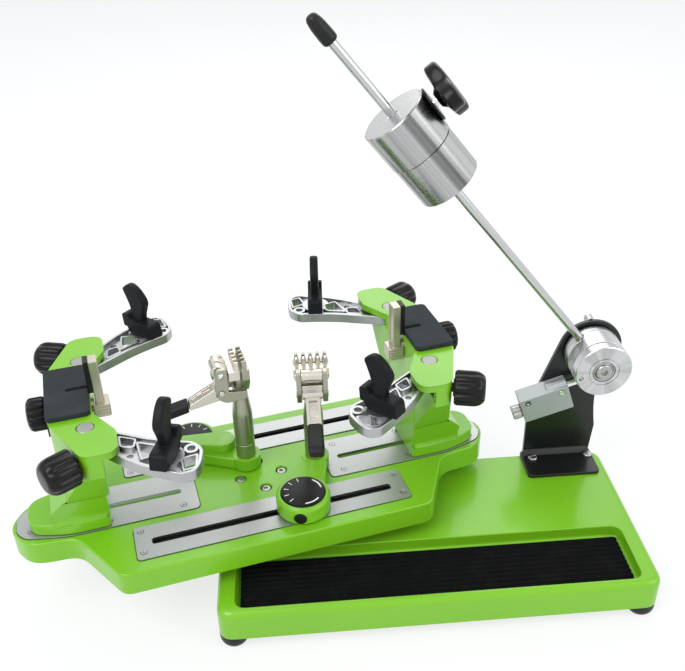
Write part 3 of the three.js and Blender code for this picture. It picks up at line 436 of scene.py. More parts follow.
class Graph:
    """A material's nodes, around one Principled shader.

    Args:
        name: The material's name.
    """

    def __init__(self, name: str) -> None:
        """Makes the material with an empty tree and its shader."""
        self.material = bpy.data.materials.new(name)
        self.material.use_nodes = True
        self.tree = self.material.node_tree
        self.tree.nodes.clear()
        self.shader = self.tree.nodes.new("ShaderNodeBsdfPrincipled")
        self.output = self.tree.nodes.new("ShaderNodeOutputMaterial")
        self.tree.links.new(self.shader.outputs[0], self.output.inputs["Surface"])

    def add(self, kind: str, settings: dict[str, object] | None = None,
            inputs: dict[str | int, object] | None = None, out: str | int = 0) -> Wire:
        """Adds a node.

        Args:
            kind: The node's type.
            settings: Its settings, set before its sockets; stops is a colour ramp's list.
            inputs: Values or wires for its sockets, by name or number.
            out: The output to return.

        Returns:
            The wire from that output.
        """
        node = self.tree.nodes.new(kind)
        for key, value in (settings or {}).items():
            if key == "stops":
                ramp = node.color_ramp
                while len(ramp.elements) < len(value):
                    ramp.elements.new(0.5)
                for stop, (at, colour) in zip(ramp.elements, value):
                    stop.position = at
                    stop.color = (*colour, 1.0)
            else:
                setattr(node, key, value)
        for key, value in (inputs or {}).items():
            self.feed(node.inputs[key], value)
        return Wire(self, node.outputs[out])

    def feed(self, socket: bpy.types.NodeSocket, value: object) -> None:
        """Links a wire to a socket, or sets the socket's value.

        Args:
            socket: The input socket.
            value: A wire, or what the socket is set to.
        """
        if isinstance(value, Wire):
            self.tree.links.new(value.socket, socket)
        elif socket.type == "RGBA" and len(value) == 3:
            socket.default_value = (*value, 1.0)
        else:
            socket.default_value = value

    def put(self, **sockets: object) -> None:
        """Sets or links the shader's sockets, with underscores for spaces."""
        for key, value in sockets.items():
            self.feed(self.shader.inputs[key.replace("_", " ")], value)

    def spot(self) -> Wire:
        """The place on the piece, in metres from its own origin."""
        return self.add("ShaderNodeTexCoord", out="Object")

    def parts(self, vector: Wire) -> tuple[Wire, Wire, Wire]:
        """The three numbers of a vector.

        Args:
            vector: The wire that carries it.

        Returns:
            Its x, y and z.
        """
        node = self.tree.nodes.new("ShaderNodeSeparateXYZ")
        self.feed(node.inputs[0], vector)
        return tuple(Wire(self, node.outputs[i]) for i in range(3))

    def vector(self, x: Wire | float, y: Wire | float, z: Wire | float) -> Wire:
        """A vector from three numbers."""
        return self.add("ShaderNodeCombineXYZ", None, {0: x, 1: y, 2: z})

    def noise(self, at: Wire, scale: float, detail: float = 2.0, rough: float = 0.5) -> Wire:
        """Soft noise from 0 to 1 with that many features in a metre."""
        return self.add("ShaderNodeTexNoise", {"noise_dimensions": "3D"},
                        {"Vector": at, "Scale": scale, "Detail": detail, "Roughness": rough})

    def stretched(self, at: Wire, x: float, y: float, z: float) -> Wire:
        """A place scaled along each axis."""
        return self.add("ShaderNodeVectorMath", {"operation": "MULTIPLY"}, {0: at, 1: (x, y, z)})

    def blend(self, mask: Wire | float, low: object, high: object) -> Wire:
        """A colour between two others."""
        return self.add("ShaderNodeMix", {"data_type": "RGBA"}, {0: mask, 6: low, 7: high}, 2)

    def between(self, mask: Wire, low: float, high: float) -> Wire:
        """A number between two others, held inside them."""
        return self.add("ShaderNodeMapRange", {"clamp": True}, {0: mask, 3: low, 4: high})

    def step(self, value: Wire, low: float, high: float) -> Wire:
        """Zero below low, one above high, and a ramp between."""
        return self.add("ShaderNodeMapRange", {"clamp": True}, {0: value, 1: low, 2: high})

    def bump(self, height: Wire, depth: float, after: Wire | None = None) -> Wire:
        """Relief, laid over earlier relief.

        Args:
            height: The height from 0 to 1.
            depth: Its depth in metres.
            after: The earlier relief.

        Returns:
            The wire for the shader's normal.
        """
        inputs = {"Height": height, "Distance": depth, "Strength": 1.0}
        if after is not None:
            inputs["Normal"] = after
        return self.add("ShaderNodeBump", None, inputs)


class Sky(Graph):
    """The world's nodes, added to in the same way as a material's."""

    def __init__(self, name: str) -> None:
        """Makes the world with nothing but its output."""
        world = bpy.data.worlds.new(name)
        world.use_nodes = True
        bpy.context.scene.world = world
        self.tree = world.node_tree
        self.tree.nodes.clear()
        self.output = self.tree.nodes.new("ShaderNodeOutputWorld")


@dataclass(frozen=True)
class Finish:
    """A surface finish.

    Args:
        name: The material's name.
        colour: Its linear colour.
        roughness: Its middle roughness.
        metallic: How much of a metal it is.
        slot: The record's material slot, which is not used.
    """

    name: str
    colour: Colour
    roughness: float
    metallic: float
    slot: str

    @property
    def grained(self) -> bool:
        """Whether the detail follows the piece's own axes."""
        return False

    def shade(self, factor: float) -> Colour:
        """This finish's colour made lighter or darker."""
        return tuple(min(c * factor, 1.0) for c in self.colour)

    def dress(self, graph: Graph) -> None:
        """Adds this finish's own detail to a graph."""
        raise NotImplementedError

    def material(self) -> bpy.types.Material:
        """The material, made once."""
        known = bpy.data.materials.get(self.name)
        if known:
            return known
        graph = Graph(self.name)
        graph.put(Metallic=self.metallic, Roughness=self.roughness)
        self.dress(graph)
        return graph.material


@dataclass(frozen=True)
class GlossPaint(Finish):
    """Sprayed powder coat with a slight orange peel and soft variation.

    Args:
        coat: Strength of the clear top layer.
        peel: Depth of the orange peel in metres.
    """

    coat: float = 0.35
    peel: float = 0.000012

    def dress(self, graph: Graph) -> None:
        """Cloudy tone, cloudy gloss and a fine orange peel.

        Args:
            graph: The finish's own nodes.
        """
        at = graph.spot()
        cloud = graph.noise(at, 14, 3)
        fine = graph.noise(at, 900, 1)
        graph.put(Base_Color=graph.blend(cloud, self.shade(0.93), self.shade(1.06)),
                  Roughness=graph.between(graph.noise(at, 45, 4), self.roughness - 0.05, self.roughness + 0.07),
                  Normal=graph.bump(graph.noise(at, 520, 2), self.peel, graph.bump(fine, self.peel * 0.3)),
                  Coat_Weight=self.coat, Coat_Roughness=0.12, Specular_IOR_Level=0.36)


@dataclass(frozen=True)
class Moulding(Finish):
    """Moulded plastic or rubber with a fine spark-eroded grain.

    Args:
        grain: Grain features in a metre.
        depth: Grain depth in metres.
        dust: How much paler the rubbed patches are.
        shine: Strength of the mirror part.
    """

    grain: float = 1800.0
    depth: float = 0.00003
    dust: float = 1.35
    shine: float = 0.28

    def dress(self, graph: Graph) -> None:
        """Leathery grain, mottled gloss and faint rubbed patches.

        Args:
            graph: The finish's own nodes.
        """
        at = graph.spot()
        cells = graph.add("ShaderNodeTexVoronoi", {"feature": "SMOOTH_F1"},
                          {"Vector": at, "Scale": self.grain, "Smoothness": 0.6})
        rub = graph.step(graph.noise(at, 60, 5, 0.6), 0.48, 0.75)
        graph.put(Base_Color=graph.blend(rub, self.colour, self.shade(self.dust)),
                  Roughness=graph.between(graph.noise(at, 130, 3), self.roughness - 0.07, self.roughness + 0.09),
                  Normal=graph.bump(cells, self.depth, graph.bump(graph.noise(at, 300, 3), self.depth)),
                  Specular_IOR_Level=self.shine, IOR=1.05 + self.shine)


@dataclass(frozen=True)
class CastMetal(Finish):
    """Tumbled casting with a faint sandy grain.

    Args:
        depth: Grain depth in metres.
    """

    depth: float = 0.00002

    def dress(self, graph: Graph) -> None:
        """Sandy grain, cloudy gloss and a cloudy tone.

        Args:
            graph: The finish's own nodes.
        """
        at = graph.spot()
        cloud = graph.noise(at, 70, 5, 0.6)
        sand = graph.noise(at, 2200, 2)
        graph.put(Base_Color=graph.blend(cloud, self.shade(0.82), self.shade(1.08)),
                  Roughness=graph.between(graph.noise(at, 220, 4), self.roughness - 0.09, self.roughness + 0.1),
                  Normal=graph.bump(sand, self.depth, graph.bump(graph.noise(at, 420, 2), self.depth * 0.8)))


@dataclass(frozen=True)
class BrushedMetal(Finish):
    """Sheet or block metal with straight sanding lines along one axis.

    Args:
        along: The axis that the lines follow.
        lines: Lines in a metre across them.
        depth: Line depth in metres.
    """

    along: Axis = Axis.X
    lines: float = 2600.0
    depth: float = 0.000006

    @property
    def grained(self) -> bool:
        """Whether the detail follows the piece's own axes."""
        return True

    def dress(self, graph: Graph) -> None:
        """Long thin lines in tone, gloss and relief, with broad soft clouds.

        Args:
            graph: The finish's own nodes.
        """
        at = graph.spot()
        scale = {a: self.lines for a in Axis}
        scale[self.along] = self.lines / 90
        lines = graph.noise(graph.stretched(at, scale[Axis.X], scale[Axis.Y], scale[Axis.Z]), 1.0, 3, 0.7)
        cloud = graph.noise(at, 30, 3)
        tone = graph.blend(lines, self.shade(0.86), self.shade(1.08))
        graph.put(Base_Color=graph.blend(cloud, tone, self.shade(0.95)),
                  Roughness=graph.between(lines, self.roughness - 0.09, self.roughness + 0.12),
                  Normal=graph.bump(lines, self.depth))


@dataclass(frozen=True)
class TurnedMetal(Finish):
    """Lathe-turned metal with rings round its axis.

    Args:
        axis: The axis that it was turned about.
        lines: Rings in a metre.
        depth: Ring depth in metres.
        painted_reflection: How strongly the painted reflection bands darken the colour; they are dark streaks that
            stand in for the studio seen in the metal.
        rim: Radius in metres from which the painted reflection bands show.
    """

    axis: Axis = Axis.Z
    lines: float = 3200.0
    depth: float = 0.00001
    painted_reflection: float = 0.16
    rim: float = 0.0

    @property
    def grained(self) -> bool:
        """Whether the detail follows the piece's own axes."""
        return True

    def dress(self, graph: Graph) -> None:
        """Fine rings in tone, gloss and relief, and painted reflection bands, dark streaks round the axis.

        Args:
            graph: The finish's own nodes.
        """
        at = graph.spot()
        x, y, z = graph.parts(at)
        a, b, run = {Axis.X: (y, z, x), Axis.Y: (x, z, y), Axis.Z: (x, y, z)}[self.axis]
        radius = (a * a + b * b) ** 0.5
        rings = graph.noise(graph.vector(radius * self.lines, run * self.lines, 0.0), 1.0, 3, 0.7)
        angle = graph.add("ShaderNodeMath", {"operation": "ARCTAN2"}, {0: a, 1: b})
        around = [graph.add("ShaderNodeMath", {"operation": name}, {0: angle}) for name in ("COSINE", "SINE")]
        # Painted reflection: noise round the axis becomes dark streaks in the base colour, in place of the studio seen
        # in the metal.
        painted_reflection_noise = graph.noise(graph.vector(around[0] * 1.7, around[1] * 1.7, 0.0), 1.0, 4, 0.65)
        painted_reflection_band = graph.step(painted_reflection_noise, 0.4, 0.6) * (radius > self.rim)
        tone = graph.blend(rings, self.shade(0.87), self.shade(1.06))
        graph.put(Base_Color=graph.blend(painted_reflection_band * self.painted_reflection, tone, self.shade(0.25)),
                  Roughness=graph.between(rings, self.roughness - 0.07, self.roughness + 0.12),
                  Normal=graph.bump(rings, self.depth))


@dataclass(frozen=True)
class Plating(Finish):
    """Bright plating over polished metal, with faint smears and pits.

    Args:
        ripple: Depth of the soft ripple in metres.
    """

    ripple: float = 0.000008

    def dress(self, graph: Graph) -> None:
        """Smears in gloss, a soft ripple and small dark pits.

        Args:
            graph: The finish's own nodes.
        """
        at = graph.spot()
        pits = graph.step(graph.noise(at, 1400, 2), 0.2, 0.32)
        smear = graph.noise(graph.stretched(at, 60, 60, 240), 1.0, 4, 0.6)
        graph.put(Base_Color=graph.blend(pits, self.shade(0.8), self.colour),
                  Roughness=graph.between(smear, self.roughness - 0.03, self.roughness + 0.1),
                  Normal=graph.bump(graph.noise(at, 160, 2), self.ripple))


@dataclass(frozen=True)
class DialFace(Finish):
    """Black dial with white arcs and tick marks printed round its rim.

    Args:
        rim: The dial's radius in metres.
    """

    rim: float = 0.0195

    @property
    def grained(self) -> bool:
        """Whether the detail follows the piece's own axes."""
        return True

    def dress(self, graph: Graph) -> None:
        """Two printed arcs, six ticks and a fine grain.

        Args:
            graph: The finish's own nodes.
        """
        at = graph.spot()
        x, y, _ = graph.parts(at)
        radius = (x * x + y * y) ** 0.5
        angle = graph.add("ShaderNodeMath", {"operation": "ARCTAN2"}, {0: y, 1: x})
        band = (radius > self.rim * 0.8) * (radius < self.rim * 0.875)
        turn = graph.add("ShaderNodeMath", {"operation": "ABSOLUTE"}, {0: angle + math.pi / 2})
        wrapped = graph.add("ShaderNodeMath", {"operation": "MINIMUM"}, {0: turn, 1: 2 * math.pi - turn})
        arcs = band * (wrapped > 0.42) * (wrapped < 1.25)
        spokes = graph.add("ShaderNodeMath", {"operation": "ABSOLUTE"},
                           {0: graph.add("ShaderNodeMath", {"operation": "SINE"}, {0: angle * 6.0})})
        ticks = (radius > self.rim * 0.66) * (radius < self.rim * 0.88) * (spokes < 0.16) * (wrapped > 1.7)
        ink = graph.add("ShaderNodeMath", {"operation": "MAXIMUM"}, {0: arcs, 1: ticks})
        speck = graph.step(graph.noise(at, 2600, 2), 0.25, 0.4)
        graph.put(Base_Color=graph.blend(ink * speck, self.colour, (0.82, 0.83, 0.83)),
                  Roughness=graph.between(graph.noise(at, 150, 3), self.roughness - 0.06, self.roughness + 0.08),
                  Normal=graph.bump(graph.noise(at, 1500, 2), 0.00001), Specular_IOR_Level=0.2)


GREEN = GlossPaint("green_powder_coat", (0.19, 0.49, 0.012), 0.3, 0.0, "green_paint")
BLACK_PAINT = GlossPaint("black_powder_coat", (0.006, 0.007, 0.0068), 0.34, 0.0, "black_paint", 0.2, 0.00003)
RUBBER = Moulding("moulded_rubber", (0.007, 0.007, 0.0075), 0.4, 0.0, "black_rubber", 1500.0, 0.00003, 1.6, 0.38)
MAT = Moulding("tray_rubber", (0.006, 0.006, 0.0065), 0.7, 0.0, "black_rubber", 1900.0, 0.00005, 1.7, 0.16)
PLASTIC = Moulding("polished_plastic", (0.0045, 0.0045, 0.005), 0.24, 0.0, "black_plastic", 2200.0, 0.000012, 1.5, 0.34)
HOOK_PLASTIC = Moulding("hook_plastic", (0.01, 0.0105, 0.012), 0.42, 0.0, "black_plastic", 1600.0, 0.00004, 1.5, 0.25)
COVER = Moulding("cover_plastic", (0.035, 0.0395, 0.043), 0.5, 0.0, "grey_plastic", 1700.0, 0.00004, 1.25, 0.16)
LINER = Moulding("slot_liner", (0.035, 0.038, 0.036), 0.6, 0.0, "black_rubber")
ARM_CAST = CastMetal("arm_casting", (0.47, 0.48, 0.49), 0.34, 1.0, "cast_aluminium")
PEDESTAL_CAST = CastMetal("pedestal_casting", (0.55, 0.56, 0.57), 0.4, 1.0, "cast_aluminium")
PLATE = BrushedMetal("satin_plate", (0.41, 0.425, 0.42), 0.42, 1.0, "cast_aluminium")
MILLED = BrushedMetal("milled_block", (0.42, 0.44, 0.45), 0.42, 0.4, "machined_aluminium", Axis.X, 1800.0)
# Turned finishes darken their colour in painted reflection bands: the drum at 0.35, the weights at full strength.
TURNED_DRUM = TurnedMetal("turned_drum", (0.66, 0.67, 0.68), 0.27, 1.0, "machined_aluminium", Axis.Y, 3200.0,
                          0.00001, 0.35)
TURNED_HUB = TurnedMetal("turned_hub", (0.66, 0.67, 0.68), 0.3, 1.0, "machined_aluminium", Axis.Z)
WEIGHT = TurnedMetal("turned_weight", (0.57, 0.58, 0.58), 0.24, 1.0, "turned_steel", Axis.Z, 2400.0, 0.000012,
                     1.0, 0.0266)
ROD = BrushedMetal("satin_rod", (0.6, 0.6, 0.61), 0.2, 1.0, "chrome_steel", Axis.Z, 3000.0, 0.000003)
CHROME = Plating("bright_chrome", (0.78, 0.79, 0.8), 0.1, 1.0, "chrome_steel")
BOLT = Plating("bolt_steel", (0.43, 0.43, 0.43), 0.28, 1.0, "chrome_steel")
PIN = Plating("pin_steel", (0.33, 0.34, 0.31), 0.45, 0.8, "chrome_steel")
BLACK_OXIDE = Plating("black_oxide", (0.02, 0.02, 0.022), 0.35, 0.6, "chrome_steel")
NICKEL = Plating("warm_nickel", (0.66, 0.63, 0.56), 0.22, 0.9, "nickel_steel", 0.000006)
NICKEL_BAR = Plating("bar_nickel", (0.5, 0.46, 0.38), 0.3, 0.85, "nickel_steel", 0.000004)
NICKEL_POST = Plating("dull_nickel", (0.4, 0.39, 0.32), 0.28, 1.0, "nickel_steel", 0.000014)
DIAL = DialFace("dial_face", (0.007, 0.007, 0.0075), 0.36, 0.0, "black_plastic")


@dataclass
class Workshop:
    """Turns forms into dressed pieces that ride on the frame's bodies."""

    made: list[str] = field(default_factory=list)

    def piece(self, name: str, form: Form, place: Place, finish: Finish, body: str,
              stands_for: Sequence[str] = (), edge: float = 0.5, turns: int = 2,
              crease: float = 30.0) -> bpy.types.Object:
        """Makes one piece.

        Args:
            name: The piece's name.
            form: Its shape in millimetres.
            place: Where its origin lies.
            finish: Its surface finish.
            body: The body that it rides on.
            stands_for: The nodes that it replaces.
            edge: Width of its edge rounding in millimetres, or 0 for none.
            turns: Segments of the rounding.
            crease: The least angle, in degrees, that counts as an edge.

        Returns:
            The finished object.
        """
        mesh = form.solid()
        bm = bmesh.new()
        bm.from_mesh(mesh)
        bmesh.ops.remove_doubles(bm, verts=bm.verts, dist=0.002)
        bmesh.ops.dissolve_degenerate(bm, edges=bm.edges, dist=0.002)
        bmesh.ops.recalc_face_normals(bm, faces=bm.faces)
        bm.to_mesh(mesh)
        bm.free()
        mesh.transform(Matrix.Scale(MM, 4))
        at = place.metres()
        if not finish.grained:
            mesh.transform(at)
            at = Matrix.Identity(4)
        obj = bpy.data.objects.new(name, mesh)
        bpy.context.scene.collection.objects.link(obj)
        mesh.shade_smooth()
        mesh.set_sharp_from_angle(angle=math.radians(crease))
        if edge > 0:
            self.soften(obj, edge * MM, turns, math.radians(crease))
        obj.data.name = name
        obj.matrix_world = at
        obj.data.materials.clear()
        obj.data.materials.append(finish.material())
        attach(obj, body)
        if stands_for:
            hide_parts(*stands_for)
        self.made.append(name)
        LOG.info("%s rides on %s, %d faces", name, body, len(obj.data.polygons))
        return obj

    def soften(self, obj: bpy.types.Object, width: float, turns: int, crease: float) -> None:
        """Rounds a piece's edges, less wide where the full width doesn't fit.

        Args:
            obj: The piece, whose mesh is exchanged for the rounded one.
            width: Width of the rounding in metres.
            turns: Segments of the rounding.
            crease: The least angle, in radians, that counts as an edge.
        """
        plain = obj.data
        modes = ("WEIGHT", "ANGLE") if marked(plain, crease) else ("ANGLE",)
        _, room, space = measured(plain)
        for mode, share in ((mode, share) for mode in modes for share in (1.0, 0.6, 0.35, 0.2)):
            soft = obj.modifiers.new("edge", "BEVEL")
            soft.width = width * share
            soft.segments = turns
            soft.limit_method = mode
            soft.angle_limit = crease
            soft.use_clamp_overlap = False
            soft.miter_outer = "MITER_ARC"
            level = obj.modifiers.new("level", "WEIGHTED_NORMAL")
            level.keep_sharp = True
            level.weight = 100
            made = flattened(obj)
            obj.modifiers.clear()
            open_edges, size, volume = measured(made)
            grown = max(*(a - b for a, b in zip(room[:3], size[:3])), *(b - a for a, b in zip(room[3:], size[3:])))
            if not open_edges and grown < 0.00005 and abs(volume - space) < 0.03 * space:
                obj.data = made
                bpy.data.meshes.remove(plain)
                return
            bpy.data.meshes.remove(made)
        LOG.info("%s keeps its plain edges", obj.name)


def marked(mesh: bpy.types.Mesh, crease: float) -> bool:
    """Marks the edges to round, apart from the rim of a broad face that looks down.

    Args:
        mesh: The plain mesh.
        crease: The least angle, in radians, that counts as an edge.

    Returns:
        Whether the mesh has such a face.
    """
    bm = bmesh.new()
    bm.from_mesh(mesh)
    broad = {face for face in bm.faces if len(face.verts) > 60 and face.normal.z < -0.95}
    layer = bm.edges.layers.float.get("bevel_weight_edge") or bm.edges.layers.float.new("bevel_weight_edge")
    for edge in bm.edges:
        edge[layer] = float(edge.calc_face_angle(0.0) > crease and broad.isdisjoint(edge.link_faces))
    bm.to_mesh(mesh)
    bm.free()
    return bool(broad)


def measured(mesh: bpy.types.Mesh) -> tuple[int, list[float], float]:
    """How many open edges a mesh has, its box as six numbers, and its volume."""
    bm = bmesh.new()
    bm.from_mesh(mesh)
    loose = sum(len(e.link_faces) != 2 for e in bm.edges)
    volume = bm.calc_volume()
    box = [pick(v.co[i] for v in bm.verts) for pick in (min, max) for i in range(3)]
    bm.free()
    return loose, box, volume


def ribbed(radius: float, z0: float, z1: float, ribs: int, depth: float, dome: float) -> Form:
    """A domed round grip with rounded ribs along it.

    Args:
        radius: Its radius over the ribs.
        z0: Height of its flat end.
        z1: Height of its domed end.
        ribs: How many ribs it has.
        depth: Depth of the grooves between them.
        dome: Height of the dome.

    Returns:
        The grip, about Z.
    """
    def reach(angle: float, r: float, z: float) -> float:
        """The radius at an angle, less where a groove runs."""
        fade = min(max((z1 - z) / dome, 0.0), 1.0)
        return r - depth * (0.5 - 0.5 * math.cos(ribs * angle)) ** 2 * fade * (r / radius)

    profile = [(radius - 2.2, z0), (radius - 0.8, z0 + 0.7), (radius, z0 + 2.4), (radius, z1 - dome)]
    for k in range(1, 9):
        a = math.pi / 2 * k / 8
        profile.append((radius * 0.52 + radius * 0.48 * math.cos(a), z1 - dome + dome * math.sin(a)))
    return Form.spun(profile, ribs * 18, reach)


def socket_bolt(shank: float, head: float, low: float, seat: float, height: float, hexagon: float) -> Form:
    """A bolt with a rounded head and a hexagon socket, about Z.

    Args:
        shank: Radius of its shank.
        head: Radius of its head.
        low: Height where the shank ends.
        seat: Height of the underside of the head.
        height: Height of the head.
        hexagon: Half the width of the socket over its corners.

    Returns:
        The bolt.
    """
    top = seat + height
    body = Form.spun([(shank, low), (shank, seat), (head, seat), (head, top - height * 0.45),
                      (head - height * 0.22, top - height * 0.12), (head - height * 0.5, top)], 40)
    return body.cut(Form.bar(hexagon, top - height * 0.62, top + 1, 6))


@dataclass(frozen=True)
class Screw:
    """A small countersunk screw in a plate.

    Args:
        radius: Radius of its head.
        recess: Radius of its driver recess.
    """

    radius: float = 2.3
    recess: float = 1.2

    def form(self, top: float) -> Form:
        """The screw with its head level with a height."""
        head = Form.spun([(self.radius * 0.5, top - 1.4), (self.radius, top - 0.2), (self.radius - 0.1, top)], 28)
        return head.cut(Form.bar(self.recess, top - 0.9, top + 1, 6))


@dataclass(frozen=True)
class BaseUnit:
    """The green housing with its tray, mat, feet and bearing pedestal, in millimetres."""

    left: float = -40.0
    right: float = 340.0
    front: float = -130.3
    back: float = 49.7
    bottom: float = 12.0
    top: float = 42.0
    sheet: float = 3.0
    corner: float = 14.0
    edge: float = 6.0
    spindle: float = 12.3
    foot: float = 12.5
    tray_left: float = -24.5
    tray_right: float = 324.0
    tray_front: float = -123.0
    tray_back: float = -60.0
    tray_depth: float = 12.0
    mat_margin: float = 3.8
    ribs: int = 9
    bolts: tuple[Corner, ...] = ((269.5, 37.4), (325.5, 37.4))

    def feet(self) -> dict[str, tuple[float, float]]:
        """Where each foot stands, by node name."""
        xs = {"left": self.left + self.foot, "right": self.right - self.foot}
        ys = {"front": self.front + self.foot, "rear": self.back - self.foot}
        return {f"foot_{v}_{h}": (xs[h], ys[v]) for v in ys for h in xs}

    def housing(self) -> Form:
        """The pressed housing with its tray pocket."""
        rim = rectangle(self.left, self.right, self.front, self.back, self.corner)
        tray = rectangle(self.tray_left, self.tray_right, self.tray_front, self.tray_back, 10)
        floor = self.top - self.tray_depth
        shell = Form.plate(rim, self.bottom, self.top, top=self.edge, steps=8)
        cavity = Form.plate(inset(rim, self.sheet), self.bottom - 1, self.top - self.sheet, top=3)
        tub = Form.plate(inset(tray, -self.sheet), floor - self.sheet, self.top - 1.5)
        block = Form.bar(self.spindle + 14, 28, self.top - 1.5)
        bosses = [Form.bar(self.foot - 2, self.bottom, self.top - self.edge).moved(x, y)
                  for x, y in self.feet().values()]
        studs = [Form.bar(4.3, self.bottom - 1, self.bottom + 10).moved(x, y) for x, y in self.feet().values()]
        holes = [Form.bar(2.8, self.top - 7, self.top + 1).moved(x, y) for x, y in self.bolts]
        pocket = Form.plate(tray, floor, self.top + 1, bottom=2.4, steps=8)
        bore = Form.bar(self.spindle, self.bottom - 1, self.top + 1)
        return shell.cut(cavity).join(tub, block, *bosses).cut(pocket, bore, *studs, *holes)

    def mat(self) -> Form:
        """The ribbed mat in the tray."""
        front = self.tray_front + self.mat_margin + 4
        back = self.tray_back - self.mat_margin
        low = self.top - self.tray_depth + SEAT
        mid = low + 1.6
        pitch = (back - front) / (self.ribs + 0.5)
        points: list[Corner] = [(front, low), (back, low), (back, mid)]
        for i in reversed(range(self.ribs)):
            start = front + pitch * (i + 0.5)
            points += [(start + pitch * 0.7, mid, 0.4), (start + pitch * 0.55, mid + 1.4, 0.6),
                       (start + pitch * 0.15, mid + 1.4, 0.6), (start, mid, 0.4)]
        points.append((front, mid))
        return Form.section(points, self.tray_left + self.mat_margin, self.tray_right - self.mat_margin, steps=3)

    def pad(self) -> Form:
        """One rubber foot with its stud."""
        r, top = self.foot, self.bottom - SEAT
        return Form.spun([(r - 5, 0), (r - 2.4, 0.5), (r - 1.2, 2.2), (r - 0.4, 4.2), (r, 6.2), (r, top - 0.8),
                          (r - 0.8, top), (4, top), (4, self.bottom + 9)], 56)

    def pedestal(self) -> Form:
        """The bearing pedestal under the turntable."""
        low, top = self.top + SEAT, 69.0
        return Form.spun([(self.spindle, low), (39.2, low), (40, low + 0.8), (40, low + 3.2), (39.2, low + 4),
                          (28, low + 7), (25, low + 9.5), (24, low + 13), (24, top - 0.8), (23.2, top),
                          (self.spindle, top)], 96, closed=True)

    def build(self, shop: "Workshop", at: Place) -> None:
        """Builds every piece of the base.

        Args:
            shop: Makes the pieces.
            at: The machine's place.
        """
        shop.piece("housing", self.housing(), at, GREEN, "base", ["base_housing"], edge=0.9, turns=3)
        shop.piece("ribbed_mat", self.mat(), at, MAT, "base", ["tray_mat"], edge=0)
        for name, (x, y) in self.feet().items():
            shop.piece(f"{name}_pad", self.pad(), at.child(x, y), RUBBER, "base", [name], edge=0)
        shop.piece("pedestal", self.pedestal(), at, PEDESTAL_CAST, "base", ["bearing_pedestal"], edge=0)


